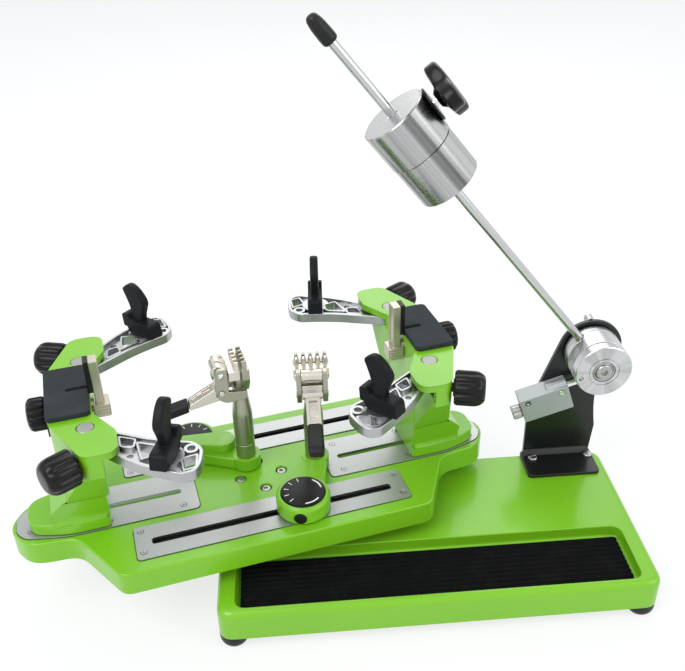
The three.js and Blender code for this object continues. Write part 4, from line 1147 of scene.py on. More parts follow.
@dataclass(frozen=True)
class TensionUnit:
    """The black post with its axle and the stop block, in millimetres."""

    x: float = 315.5
    z: float = 167.0
    foot_low: float = 42.3
    foot_top: float = 45.3
    face: float = 46.0
    back: float = 50.0
    left: float = 262.0
    right: float = 331.0
    stop: Corner = (274.4, 117.1)
    stop_tilt: float = 18.7
    stop_half: float = 24.0
    stop_front: float = 29.0
    stop_height: float = 26.0
    rise: float = 10.0
    bolts: tuple[Corner, ...] = ((269.5, 37.4), (325.5, 37.4))
    screws: tuple[Corner, ...] = ((-16.6, 8.0), (16.6, 7.2))

    def sheet(self) -> Form:
        """The folded sheet of the post."""
        lean = math.atan2(30.5, 85.4)
        curve = [(self.x + 30 * math.cos(a), self.z + 30 * math.sin(a))
                 for a in ((math.pi - lean) * k / 40 for k in range(41))]
        bend = [((1 - t) ** 2 * 331.2 + 2 * t * (1 - t) * 318.5 + t * t * 345.5,
                 (1 - t) ** 2 * 76 + 2 * t * (1 - t) * 142 + t * t * 167) for t in (k / 16 for k in range(16))]
        side = [(self.left, self.foot_low), (self.right - 2.5, self.foot_low), *bend, *curve, (self.left, 104)]
        foot = Form.plate(rectangle(258.8, 330.2, 11, self.back, 5), self.foot_low, self.foot_top, top=0.8)
        fold = Form.section([(self.back, self.foot_top), (self.face, self.foot_top + 5, 1),
                             (self.face - 5, self.foot_top, 5), (self.face - 5, self.foot_low),
                             (self.back, self.foot_low)], self.left, self.right - 4)
        axle = Form.bar_y(6.3, self.face - 1, self.back + 1).moved(self.x, 0, self.z)
        return Form.upright(side, self.face, self.back).join(foot, fold).cut(axle)

    def slotted(self, x: float, y: float) -> Form:
        """A round-headed bolt with a screwdriver slot, standing in the foot.

        Args:
            x: Its place along the machine.
            y: Its place across the machine.

        Returns:
            The bolt.
        """
        top = self.foot_top
        head = Form.spun([(2.5, 37), (2.5, top), (4.6, top), (4.6, top + 1.3), (4.1, top + 2.1), (3, top + 2.6)], 40)
        return head.cut(Form.block(-6, 6, -0.6, 0.6, top + 1.2, top + 4).turned(Axis.Z, 24)).moved(x, y)

    def rear_bolt(self) -> Form:
        """The bolt behind the post's top."""
        shank = Form.bar_y(4, self.back - 1, self.back + 8, 36)
        return shank.moved(self.x - 2, 0, self.z + 27.5)

    def block(self) -> Form:
        """The milled stop block with its bored sleeve."""
        half, lane = self.stop_half, (self.stop_front + self.face - SEAT) / 2
        tall, front, back = self.stop_height / 2, self.stop_front, self.face - SEAT
        body = Form.section([(front, -tall), (back, -tall), (back, tall + 2.6), (front, tall)], -half, half)
        sleeve = Form.bar_x(6.5, 4, half, 64).moved(0, lane, self.rise)
        bore = Form.bar_x(3.9, -6, half + 1).moved(0, lane, self.rise)
        tap = Form.bar_x(4.3, -half - 1, -half + 12).moved(0, lane, -3)
        sinks = [Form.bar_y(3.1, self.stop_front - 1, self.stop_front + 1.2, 36).moved(x, 0, z)
                 for x, z in self.screws]
        return body.join(sleeve).cut(bore, tap, *sinks)

    def block_screw(self, x: float, z: float) -> Form:
        """A small socket screw sunk in the block's face."""
        y = self.stop_front
        return Form.bar_y(2.8, y + 0.1, y + 1.2, 32).cut(Form.bar_y(1.4, y - 1, y + 0.8, 6)).moved(x, 0, z)

    def knurled(self) -> Form:
        """The knurled screw at the block's end."""
        low = self.stop_half + SEAT
        grip = Form.spun([(6.2, low), (7, low + 0.8), (7, low + 8.2), (6.2, low + 9)], 120,
                         lambda a, r, z: r - 0.45 * (0.5 + 0.5 * math.cos(30 * a)))
        return grip.join(Form.bar(4, low - 11, low + 1)).turned(Axis.Y, -90)

    def plunger(self) -> Form:
        """The plunger that rests on the drum."""
        return Form.spun([(3.6, 4), (3.6, 34.4), (3.1, 35.4), (2.4, 35.99)], 40).turned(Axis.Y, 90)

    def axle(self) -> dict[str, Form]:
        """The axle's bearing, shaft and cap screw, by name."""
        shaft = Form.bar_y(6, 8, self.back + 1.3).join(Form.bar_y(8.5, self.back + SEAT, self.back + 5.3, 6))
        race = Form.spun([(7.7, -8.3), (10.2, -8.3), (10.2, -6.6), (9.8, -6.3), (9.1, -6.5), (8.6, -6.9),
                          (8.1, -6.5), (7.7, -6.4)], 72, closed=True).turned(Axis.X, 90)
        cap = Form.spun([(7.5, -8.3), (7.5, -5.5), (6.9, -4.8), (6.4, -4.7)], 56).cut(Form.bar(3.4, -7.1, -4, 6))
        return {"axle_shaft": shaft, "axle_bearing": race, "axle_cap_screw": cap.turned(Axis.X, 90)}

    def build(self, shop: "Workshop", at: Place) -> None:
        """Builds the post, the axle and the stop.

        Args:
            shop: Makes the pieces.
            at: The machine's place.
        """
        shop.piece("post_sheet", self.sheet(), at, BLACK_PAINT, "base", ["tension_post"], edge=0.4)
        for i, (x, y) in enumerate(self.bolts):
            shop.piece(f"post_bolt_{i + 1}", self.slotted(x, y), at, BOLT, "base", edge=0.15)
        shop.piece("post_rear_bolt", self.rear_bolt(), at, BOLT, "base", edge=0.5)
        drum = at.child(self.x, 0, self.z)
        for name, form in self.axle().items():
            shop.piece(name, form, drum, BOLT, "base", ["drum_axle"], edge=0.15)
        stop = at.child(self.stop[0], 0, self.stop[1]).tilted(-self.stop_tilt)
        lane = (self.stop_front + self.face - SEAT) / 2
        shop.piece("stop_body", self.block(), stop, MILLED, "base", ["stop_block"], edge=0.6)
        for i, (x, z) in enumerate(self.screws):
            shop.piece(f"stop_body_screw_{i + 1}", self.block_screw(x, z), stop, CHROME, "base", edge=0.15)
        shop.piece("knurled_screw", self.knurled(), stop.child(0, lane, -3), BOLT, "stop_screw",
                   ["stop_knurled_screw"], edge=0)
        shop.piece("plunger_rod", self.plunger(), stop.child(0, lane, self.rise), CHROME, "plunger",
                   ["stop_plunger"], edge=0)


@dataclass(frozen=True)
class DropLever:
    """The drum, rod, grip and weights, in millimetres."""

    x: float = 315.5
    z: float = 167.0
    radius: float = 26.0
    tilt: float = 38.97
    rod_y: float = 35.0
    rod: float = 3.9
    rod_start: float = 12.0
    rod_end: float = 389.0
    main: tuple[float, float] = (267.7, 304.0)
    extra: tuple[float, float] = (228.5, 267.4)
    knob_at: float = 289.0

    def hub(self) -> Form:
        """The drum behind the cheek, with its flat and its rod socket."""
        body = Form.bar_y(self.radius, 16.3, 44, 128)
        flat = Form.block(20, 52, 15, 29.7, -52, 52).turned(Axis.Y, -165.5)
        seam = Form.bar_y(self.radius + 1, 36.6, 37.1, 96).cut(Form.bar_y(self.radius - 0.35, 36, 38, 96))
        bore = Form.bar_y(6.3, 15, 45)
        socket = Form.bar(self.rod + 0.3, self.rod_start - 0.3, 27).turned(Axis.Y, -self.tilt).moved(0, self.rod_y, 0)
        return body.cut(flat, seam, bore, socket)

    def cheek(self) -> Form:
        """The front cheek with its bearing recess, groove and pin hole."""
        profile = [(6.3, -15.7), (25.4, -15.7), (26, -15.1), (26, -7.1), (25.2, -6.3), (14.3, -6.3), (14.1, -6.9),
                   (13.4, -6.9), (13.2, -6.3), (10.6, -6.3), (10.5, -8.6), (6.3, -8.6)]
        return Form.spun(profile, 128, closed=True).turned(Axis.X, 90).cut(
            Form.bar_y(2.5, 5.3, 9.3, 32).moved(-20.5, 0, -6))

    def grip(self) -> Form:
        """The soft grip at the rod's end."""
        body = Form.spun([(4.9, 376.5), (5.6, 376.9), (6.4, 378.2), (6.6, 380), (6.6, 384), (6.3, 392), (5.8, 396),
                          (5, 399.4), (3.8, 401.2), (2.2, 402)], 48)
        return body.cut(Form.bar(self.rod + 0.3, 375, self.rod_end + 0.3))

    def weight(self, low: float, high: float, radius: float, soft: float) -> Form:
        """A turned weight with a chamfer at its outer end and a bore.

        Args:
            low: Its inner end on the rod.
            high: Its outer end on the rod.
            radius: Its radius.
            soft: The chamfer.

        Returns:
            The weight.
        """
        profile = [(self.rod + 0.3, low), (radius - 0.6, low), (radius, low + 0.6), (radius, high - soft),
                   (radius - soft, high), (self.rod + 1, high), (self.rod + 0.3, high - 0.7)]
        return Form.spun(profile, 128, closed=True)

    def knob(self) -> dict[str, Form]:
        """The three-lobed knob's pieces, along X from the weight, by name."""
        def lobes(angle: float, r: float, z: float) -> float:
            """The knob's plan, round at the hub and three-lobed at the rim.

            Args:
                angle: The angle round the knob.
                r: The radius of the profile.
                z: The height, which plays no part.

            Returns:
                The radius at that angle.
            """
            wide = min(max((r - 10) / 8, 0.0), 1.0)
            shape = (20.6 - 5.4 * math.cos(3 * (angle + math.pi / 6))) / 26
            return r * (1 - wide + wide * shape)

        head = Form.spun([(6, 33.5), (10, 37), (13, 37.2), (22, 38), (25, 38.9), (26, 40.2), (26, 47), (25.2, 48.6),
                          (23, 49.6), (17, 50.3), (10, 50.5), (4, 50.5)], 180, lobes)
        washer = Form.spun([(3.2, 28.3), (14.4, 28.3), (15, 28.9), (15, 29.6), (14.4, 30.1), (3.2, 30.1)], 72,
                           closed=True)
        stud = Form.spun([(3, 6.9), (3, 30.6), (4.3, 30.7), (4.3, 31.6), (3.1, 31.7), (3.1, 32.6), (4.3, 32.7),
                          (4.3, 33.6), (3.1, 33.7)], 48)
        forms = {"weight_knob_head": head, "weight_knob_washer": washer, "weight_knob_stud": stud}
        return {name: form.turned(Axis.Y, 90) for name, form in forms.items()}

    def build(self, shop: "Workshop", at: Place) -> None:
        """Builds the drum, the rod and the weights.

        Args:
            shop: Makes the pieces.
            at: The machine's place.
        """
        drum = at.child(self.x, 0, self.z)
        rod = drum.child(0, self.rod_y).tilted(-self.tilt)
        shop.piece("drum", self.hub(), drum, TURNED_DRUM, "lever", ["gripper_hub"], edge=0.35)
        shop.piece("drum_cheek", self.cheek(), drum, TURNED_DRUM, "cheek", ["gripper_cheek"], edge=0)
        shop.piece("rod", Form.bar(self.rod, self.rod_start, self.rod_end, 56), rod, ROD, "lever", ["lever_rod"])
        shop.piece("rod_grip", self.grip(), rod, RUBBER, "lever", ["lever_grip"], edge=0)
        tap = Form.bar_x(3.3, self.rod + 2, 29, 32).moved(0, 0, self.knob_at)
        shop.piece("upper_weight", self.weight(*self.main, 28, 0.8).cut(tap), rod, WEIGHT, "main_weight",
                   ["main_weight"], edge=0)
        shop.piece("lower_weight", self.weight(*self.extra, 27.4, 0.6), rod, WEIGHT, "extra_weight",
                   ["extra_weight"], edge=0)
        for name, form in self.knob().items():
            finish = CHROME if name.endswith("stud") else PLASTIC
            shop.piece(name, form, rod.child(0, 0, self.knob_at), finish, "weight_knob", ["weight_knob"], edge=0)


TABLE_TOP = 80.0
INLAY_TOP = 81.0
INLAY_LOW = 78.0
POCKET_FLOOR = 77.7
RAIL_LANE = 55.4


@dataclass(frozen=True)
class Turntable:
    """The green table with its rails, track plates and hub, in millimetres."""

    rim: float = 22.0
    wall: float = 5.0
    outline: tuple[Corner, ...] = ((136, -87, 8), (168, -30, 12), (208.5, -27, 14), (221.5, -6, 8))
    track: tuple[Corner, ...] = ((61, -26.7, 5), (174, -26.7, 8), (211, -18, 6), (217.5, -8, 4))
    rail: tuple[float, float, float] = (121.5, 35.0, 74.5)
    rail_slot: tuple[float, float] = (107.5, 7.6)
    shoe_channel: float = 17.0
    track_slot: tuple[float, float, float] = (74.4, 198.0, 6.0)
    bolt_circle: float = 19.2
    rail_screws: tuple[Corner, ...] = ((115.5, 41.1), (115.5, 66.4), (-115.5, 41.1), (-115.5, 66.4))
    track_screws: tuple[Corner, ...] = ((75, 19.2), (75, -19.2), (139.8, 19.2), (139.8, -19.2), (205.4, 10.7),
                                        (205.4, -10.7))

    def plan(self) -> list[Corner]:
        """The table's whole outline."""
        right = mirrored(self.outline)
        return right + [(-x, -y, r) for x, y, r in right]

    def track_plan(self, grow: float = 0.0) -> list[Corner]:
        """A track plate's outline, or its pocket's."""
        return inset(mirrored(self.track), -grow) if grow else mirrored(self.track)

    def rail_plan(self, grow: float = 0.0) -> list[Corner]:
        """A rail's outline, or its pocket's."""
        half, inner, outer = self.rail
        return rectangle(-half - grow, half + grow, inner - grow, outer + grow, 4)

    def bolts(self) -> list[tuple[float, float]]:
        """Where the hub's bolts stand."""
        return [(self.bolt_circle * math.cos(a), self.bolt_circle * math.sin(a))
                for a in (0, math.pi / 2, math.pi, math.pi * 1.5)]

    def casting(self) -> Form:
        """The table casting with its pockets and slots."""
        low, high = TABLE_TOP - self.rim, TABLE_TOP
        body = Form.plate(self.plan(), low, high, top=1.6, steps=8)
        cuts = [Form.plate(inset(self.plan(), self.wall), low - 1, high - self.wall, top=2)]
        start, end, width = self.track_slot
        half = self.rail_slot[0] + 4
        for turn in (0, 180):
            parts = [Form.plate(self.track_plan(0.3), POCKET_FLOOR, high + 1),
                     Form.block(start, end, -width / 2, width / 2, low, high),
                     Form.plate(self.rail_plan(0.3), POCKET_FLOOR, high + 1),
                     Form.block(-half, half, RAIL_LANE - self.shoe_channel / 2, RAIL_LANE + self.shoe_channel / 2,
                                low, high)]
            cuts += [part.turned(Axis.Z, turn) for part in parts]
        for x, y in self.bolts():
            cuts += [Form.bar(2.8, low, high + 1, 32).moved(x, y),
                     Form.spun([(5.2, high - 3.8), (5.2, high - 0.5), (5.9, high + 0.3)], 48).moved(x, y)]
        return body.cut(*cuts)

    def plate_cuts(self, screws: Sequence[Corner]) -> list[Form]:
        """Countersinks for a plate's screws."""
        return [Form.spun([(1.3, INLAY_LOW - 1), (1.3, INLAY_TOP - 1.5), (2.9, INLAY_TOP - 0.1),
                           (2.9, INLAY_TOP + 1)], 28).moved(x, y) for x, y in screws]

    def track_plate(self) -> Form:
        """A track plate with its slot."""
        start, end, width = self.track_slot
        slot = Form.plate(rectangle(start, end, -width / 2, width / 2, 3), INLAY_LOW - 1, INLAY_TOP + 1)
        return Form.plate(self.track_plan(), INLAY_LOW, INLAY_TOP).cut(slot, *self.plate_cuts(self.track_screws))

    def rail_plate(self) -> Form:
        """A rail with its slot."""
        half, width = self.rail_slot
        slot = Form.plate(rectangle(-half, half, RAIL_LANE - width / 2, RAIL_LANE + width / 2, 3),
                          INLAY_LOW - 1, INLAY_TOP + 1)
        return Form.plate(self.rail_plan(), INLAY_LOW, INLAY_TOP).cut(slot, *self.plate_cuts(self.rail_screws))

    def hub(self) -> Form:
        """The spindle with its flange."""
        top, low = TABLE_TOP - self.wall - SEAT, TABLE_TOP - self.wall - SEAT - 5.4
        return Form.spun([(11, 26), (12, 27), (12, low), (33.2, low), (34, low + 0.8), (34, top)], 96)

    def build(self, shop: "Workshop", at: Place) -> None:
        """Builds the table and what is let into it.

        Args:
            shop: Makes the pieces.
            at: The table's place.
        """
        shop.piece("table", self.casting(), at, GREEN, "turntable", ["table_casting"], edge=0.5)
        shop.piece("hub", self.hub(), at, TURNED_HUB, "turntable", ["table_hub"], edge=0)
        for i, (x, y) in enumerate(self.bolts()):
            bolt = socket_bolt(2.5, 4.5, 70.3, TABLE_TOP - 3.5, 2.6, 2.5)
            shop.piece(f"hub_bolt_{i + 1}", bolt, at.child(x, y), BOLT, "turntable", edge=0)
        screw = Screw()
        for across, along, turn in (("rear", "right", 0.0), ("front", "left", 180.0)):
            half = at.child(0, 0, 0, turn)
            shop.piece(f"{across}_rail_plate", self.rail_plate(), half, PLATE, "turntable", [f"{across}_rail"],
                       edge=0.35)
            shop.piece(f"{along}_track_plate", self.track_plate(), half, PLATE, "turntable",
                       [f"track_plate_{along}"], edge=0.35)
            spots = [(f"{across}_rail", p) for p in self.rail_screws] + [(f"{along}_track", p)
                                                                        for p in self.track_screws]
            for i, (name, (x, y)) in enumerate(spots):
                shop.piece(f"{name}_screw_{i + 1}", screw.form(INLAY_TOP), half.child(x, y), BOLT, "turntable",
                           edge=0)
            shop.piece(f"{across}_rail_liner", self.liner(), half, LINER, "turntable", edge=0)

    def liner(self) -> Form:
        """The dark sheet channel under a rail's slot, round the clamp shoe's way."""
        half, deep, wide = self.rail[0] - 2, 71.4, self.shoe_channel / 2
        top = TABLE_TOP - self.wall - 0.05
        side = [(RAIL_LANE - wide - 3, top - 0.8), (RAIL_LANE - wide, top - 0.8), (RAIL_LANE - wide, deep)]
        other = [(2 * RAIL_LANE - y, z) for y, z in reversed(side)]
        inner = [(RAIL_LANE + wide - 0.8, deep + 0.8), (RAIL_LANE + wide - 0.8, top)]
        outer = [(RAIL_LANE - wide - 3, top), (RAIL_LANE - wide + 0.8, top), (RAIL_LANE - wide + 0.8, deep + 0.8)]
        return Form.section([*side, *other, (RAIL_LANE + wide + 3, top), *reversed(inner), *reversed(outer)],
                            -half, half)


@dataclass(frozen=True)
class Tower:
    """One green tower with its cover, centre knob and end clamp, in millimetres from the table's top."""

    side: str
    at: float
    turn: float
    wing: float = 86.5
    height: float = 126.0
    yoke_low: float = 40.0
    wing_low: float = 104.0
    arm_low: float = 110.0
    arm_top: float = 119.0
    pin_at: float = 49.0
    pin: float = 6.75
    axis: float = 113.0
    knob_turn: float = 26.0
    knob_spot: Corner = (10.56, 76.05)
    face: float = 27.6

    def casting(self) -> Form:
        """The slab, the pillar and the C-shaped yoke."""
        slab = Form.plate(mirrored([(-3, -25.5, 4), (33, -25.5, 10), (60, -17, 6), (65, -9, 4)]), 1.3, 12, top=0.9)
        key = Form.block(9, 39, -2.6, 2.6, -6, 2.3)
        pillar = Form.section([(-23.2, 11), (23.2, 11), (23.8, 20), (30, 39.5), (33.5, 44), (-33.5, 44), (-30, 39.5),
                               (-23.8, 20)], -3.5, 43.6)
        pillar = pillar.keep(Form.upright([(-5, 10), (43.6, 10), (43.6, 28), (27.6, 45), (-5, 45)], -40, 40))
        plan = mirrored([(self.face, -36, 5), (4.9, -self.wing, 8), (-22, -self.wing, 13), (-22, -60, 4), (-6, -32, 3)])
        w, low = self.wing, self.wing_low
        front = [(-30, self.yoke_low - 1), (30, self.yoke_low - 1), (76, low - 6), (w + 1, low),
                 (w + 1, self.height + 1), (-w - 1, self.height + 1), (-w - 1, low), (-76, low - 6)]
        flare = Form.section([(-25.2, 11.4), (25.2, 11.4), (23.9, 14), (23.2, 18), (23, 23), (-23, 23), (-23.2, 18),
                              (-23.9, 14)], -1, 42)
        yoke = Form.plate(plan, self.yoke_low, self.height, top=0.8, steps=10).keep(Form.section(front, -60, 60))
        cuts = [Form.bar_x(6.3, -40, 13).moved(0, 0, self.axis), Form.bar_x(4.3, 12, 60).moved(0, 0, self.axis)]
        for way in (1, -1):
            cuts += [self.pocket(way), self.chin(way),
                     Form.bar(self.pin + 0.3, self.arm_top, self.height + 1).moved(0, way * self.pin_at),
                     Form.bar(5.3, self.arm_low - 7, self.arm_low).moved(0, way * self.pin_at),
                     Form.bar_x(4.3, -16, 6).turned(Axis.Z, way * self.knob_turn)
                     .moved(self.knob_spot[0], way * self.knob_spot[1], self.axis)]
        ends = [Form.block(-9.4, 7, *sorted((way * (self.wing - 4), way * (self.wing + 1))), 109, 120)
                .keep(Form.plate(plan, self.yoke_low, self.height, steps=10)) for way in (1, -1)]
        return slab.join(key, flare, pillar, yoke).cut(*cuts).join(*ends)

    def pocket(self, way: int) -> Form:
        """The pocket that an arm swings in.

        Args:
            way: The side of the tower, 1 or -1.

        Returns:
            The form to cut away.
        """
        lean = math.atan2(self.knob_spot[1] - self.pin_at + 18, 20)
        run = (self.wing + 8 - 36.5) * 20 / 44
        start = self.face - 6.5 / math.sin(lean) - 0.2
        corners = [(-50, -36.5), (start, -36.5), (start - run, -self.wing - 8), (-50, -self.wing - 8)]
        return Form.plate(facing([(x, -way * y) for x, y in corners]), self.arm_low - 0.4, self.arm_top + 0.4)

    def chin(self, way: int) -> Form:
        """What is cut from below a wing, so that its underside narrows to its end."""
        corners = [(-50, -34), (-6.2, -34), (-8.6, -60), (-9.6, -self.wing - 8), (-50, -self.wing - 8)]
        return Form.plate(facing([(x, -way * y) for x, y in corners]), self.yoke_low - 1, self.arm_low - 0.3)

    def cover(self) -> Form:
        """The grey cover with its slit and skirt."""
        low, face = self.height + SEAT, self.face + SEAT
        top = low + 4.4
        lid = Form.plate(rectangle(-5.5, face + 1.2, -35.5, 35.5, 5), low, top, top=0.8)
        skirt = Form.block(face, face + 1.2, -30, 30, top - 21, low + 1)
        slit = Form.plate(rectangle(-8, 12, -2.1, 2.1, 1.8), low - 1, top + 1)
        notches = [Form.bar(self.pin + 1.2, low - 1, top + 1, 64).moved(0, way * self.pin_at) for way in (1, -1)]
        hole = Form.bar_x(4.4, face - 1, face + 4).moved(0, 0, self.axis)
        return lid.join(skirt).cut(slit, hole, *notches)

    def centre_knob(self) -> Form:
        """The ribbed knob of the end clamp's screw."""
        start = self.face + 1.8
        return ribbed(14, start, start + 15.6, 14, 1.3, 4.5).join(Form.bar(4, 16, start + 1)).turned(Axis.Y, 90)

    def end_clamp(self) -> dict[str, Form]:
        """The nickel bar that holds the racket's end, and its soft pad, by name."""
        z = self.axis
        shoe = Form.plate(rectangle(-20.5, -6.5, -8, 8, 2), z - 9.5, z + 2, top=0.6)
        grooves = [Form.block(-22, -5, -8.4, -7.2, z + h, z + h + 1.1) for h in (-6.9, -3.9, -0.9)]
        grooves += [groove.turned(Axis.Z, 180).moved(-27, 0, 0) for groove in grooves]
        bar = Form.plate(rectangle(-16.6, -9.5, -5.8, 5.8, 1), z - 8, 156, top=0.5)
        step = Form.block(-17.2, -15.9, -3.6, 3.6, z + 6, 152)
        stem = Form.bar_x(6, -8, 10, 56).moved(0, 0, z)
        pad = Form.block(-9.6, -5.5, -5.5, 5.5, 127, 156.5)
        return {"end_bar": shoe.cut(*grooves).join(bar, stem).cut(step), "end_pad": pad}

    def build(self, shop: "Workshop", table: Place) -> Place:
        """Builds the tower.

        Args:
            shop: Makes the pieces.
            table: The table's place.

        Returns:
            The tower's own place, for its arms.
        """
        at = table.child(self.at, 0, TABLE_TOP, self.turn)
        body = f"{self.side}_tower"
        shop.piece(f"{self.side}_tower_body", self.casting(), at, GREEN, body, [body], edge=0.8, turns=3,
                   crease=20.0)
        shop.piece(f"{self.side}_cover", self.cover(), at, COVER, body, [f"{body}_cover"], edge=0.6, turns=3)
        knob = at.child(0, 0, self.axis)
        shop.piece(f"{self.side}_screw_knob", self.centre_knob(), knob, PLASTIC, f"{self.side}_centre_knob",
                   [f"{self.side}_centre_knob"], edge=0)
        for name, form in self.end_clamp().items():
            finish = NICKEL_BAR if name == "end_bar" else RUBBER
            shop.piece(f"{self.side}_{name}", form, at, finish, f"{self.side}_end_clamp",
                       [f"{self.side}_end_clamp"], edge=0.35)
        return at


@dataclass(frozen=True)
class SupportArm:
    """One cast arm with its pin, its knob and its hook, in millimetres from its pin."""

    name: str
    way: int
    swing: float
    seat: float
    low: float = 110.0
    top: float = 119.0
    pivot: Corner = (60.0, 41.0)
    rim: tuple[Corner, ...] = ((-7, -7.5, 5), (10, -5, 6), (27, 4, 8), (44, 14, 8), (62, 22, 8), (80, 28, 4),
                               (87, 38, 6), (84, 55, 8), (79, 63.5, 5), (70, 65.5, 4), (58, 58.5, 8), (44, 50.5, 8),
                               (31, 40.5, 8), (20, 29.5, 8), (8, 16, 8), (-4, 9, 5), (-10, 1, 5))
    windows: tuple[tuple[Corner, ...], ...] = (
        ((38.5, 20, 2), (53, 27.5, 2), (52, 37, 2), (41, 39, 2)),
        ((70.5, 47, 2), (81, 45, 2), (79, 58, 2), (71, 59.5, 2)))
    hollow: tuple[Corner, ...] = ((25, 9.5, 2), (36, 15, 2), (34.5, 23, 2), (26, 20.5, 2))
    holes: tuple[Corner, ...] = ((32, 31, 2.5), (77.8, 36.4, 3.2))

    def placed(self, corners: Iterable[Corner]) -> list[Corner]:
        """An outline turned to this arm's hand."""
        return facing([(-c[0], self.way * c[1], c[2] if len(c) > 2 else 0.0) for c in corners])

    def casting(self) -> Form:
        """The arm with its raised rim, webs, windows and holes."""
        rim = self.placed(self.rim)
        floor = self.top - 3.8
        body = Form.plate(rim, self.low, self.top, top=0.7, bottom=0.7, steps=8)
        trough = Form.plate(inset(rim, 2.6), floor, self.top + 1, bottom=0.5, steps=8)
        px, py = self.pivot
        pads = [Form.bar(12.5, self.low + 1, self.top - 0.05, 64).moved(-px, self.way * py),
                Form.bar(5.6, self.low + 1, self.top - 0.05, 48).moved(-77.8, self.way * 36.4),
                Form.bar(9.5, self.low + 1, self.top - 0.05, 56)]
        pads = [pad.keep(Form.plate(rim, self.low, self.top, steps=8)) for pad in pads]
        cuts = [Form.plate(self.placed(w), self.low - 1, self.top + 1, steps=6) for w in self.windows]
        cuts.append(Form.plate(self.placed(self.hollow), self.low + 2, self.top + 1, bottom=1, steps=6))
        cuts += [Form.bar(r, self.low - 1, self.top + 1, 40).moved(-x, self.way * y) for x, y, r in self.holes]
        cuts.append(Form.bar(4.3, self.low - 1, self.top + 1).moved(-px, self.way * py))
        return body.cut(trough).join(*pads).cut(*cuts)

    def frames(self) -> list[Form]:
        """The raised frames round the windows."""
        rims = []
        for window in (*self.windows, self.hollow):
            inner = self.placed(window)
            ring = Form.plate(inset(inner, -1.7), self.low + 2, self.top - 0.25, top=0.5, steps=6)
            rims.append(ring.keep(Form.plate(self.placed(self.rim), self.low, self.top, steps=8))
                        .cut(Form.plate(inner, self.low, self.top + 1, steps=6)))
        return rims

    def pin(self) -> Form:
        """The pin that the arm turns on, level with the wing's top."""
        return Form.spun([(5, self.low - 6), (5, self.low + 1), (6.75, self.low + 2), (6.75, 125.4), (6.2, 126)], 64)

    def knob(self) -> Form:
        """The arm's ribbed knob."""
        return ribbed(15, 1.2, 27, 9, 1.8, 10).join(Form.bar(7.5, SEAT, 2), Form.bar(4, -9, 1)).turned(Axis.Y, 90)

    def build(self, shop: "Workshop", tower: Place, turn: float, body: str) -> None:
        """Builds the arm and what rides on it.

        Args:
            shop: Makes the pieces.
            tower: The tower's place.
            turn: The tower's turn in degrees.
            body: The tower's body.
        """
        spot = tower.child(10.56, self.way * 76.05, 113, self.way * 26)
        shop.piece(f"{self.name}_knob", self.knob(), spot, PLASTIC, f"{self.name}_arm_knob",
                   [f"{self.name}_arm_knob"], edge=0)
        at = tower.child(0, self.way * 49, 0, -self.way * self.swing)
        arm = f"{self.name}_arm"
        shop.piece(f"{arm}_casting", self.casting().join(*self.frames()), at, ARM_CAST, arm, [arm], edge=0.3)
        shop.piece(f"{arm}_pin", self.pin(), at, PIN, arm, edge=0)
        hook = at.child(-self.pivot[0], self.way * self.pivot[1], 0, self.seat - turn + self.way * self.swing)
        Hook().build(shop, hook, f"{self.name}_hook")


@dataclass(frozen=True)
class Hook:
    """A frame hook about its pivot, with its seat along X, in millimetres."""

    low: float = 119.3
    front: float = 16.0
    back: float = 20.0
    width: float = 13.5
    fin_width: float = 7.6
    fin: tuple[Corner, ...] = ((-6, 9), (-6.5, 19, 4), (-12.4, 34, 5), (-4, 45, 9), (6, 49.8, 7), (14.8, 43, 2.5),
                               (8.5, 29, 9), (6.5, 19, 4), (5.5, 9))

    def form(self) -> Form:
        """The block with its raised seat, the fin and the pivot pin."""
        z, f, b = self.low, self.front, self.back
        block = [(-b, z, 2), (f - 6, z, 1), (f - 4, z + 5, 1), (f, z + 5, 2), (f + 1, z + 17.5, 2),
                 (f - 5, z + 18.5, 2),
                 (f - 10, z + 13, 2), (2 - b, z + 13, 4)]
        half = self.width / 2
        foot = Form.upright(block, -half, half, edge=0.9)
        fin = Form.upright([(x, z + h, *r) for x, h, *r in self.fin], -self.fin_width / 2, self.fin_width / 2,
                           edge=2.0, steps=8)
        pin = Form.bar(4, 111, z + 2)
        return foot.join(fin, pin)

    def build(self, shop: "Workshop", at: Place, body: str) -> None:
        """Builds the hook.

        Args:
            shop: Makes the pieces.
            at: The hook's place.
            body: The body that it rides on.
        """
        shop.piece(f"{body}_body", self.form(), at, HOOK_PLASTIC, body, [body], edge=0.3)


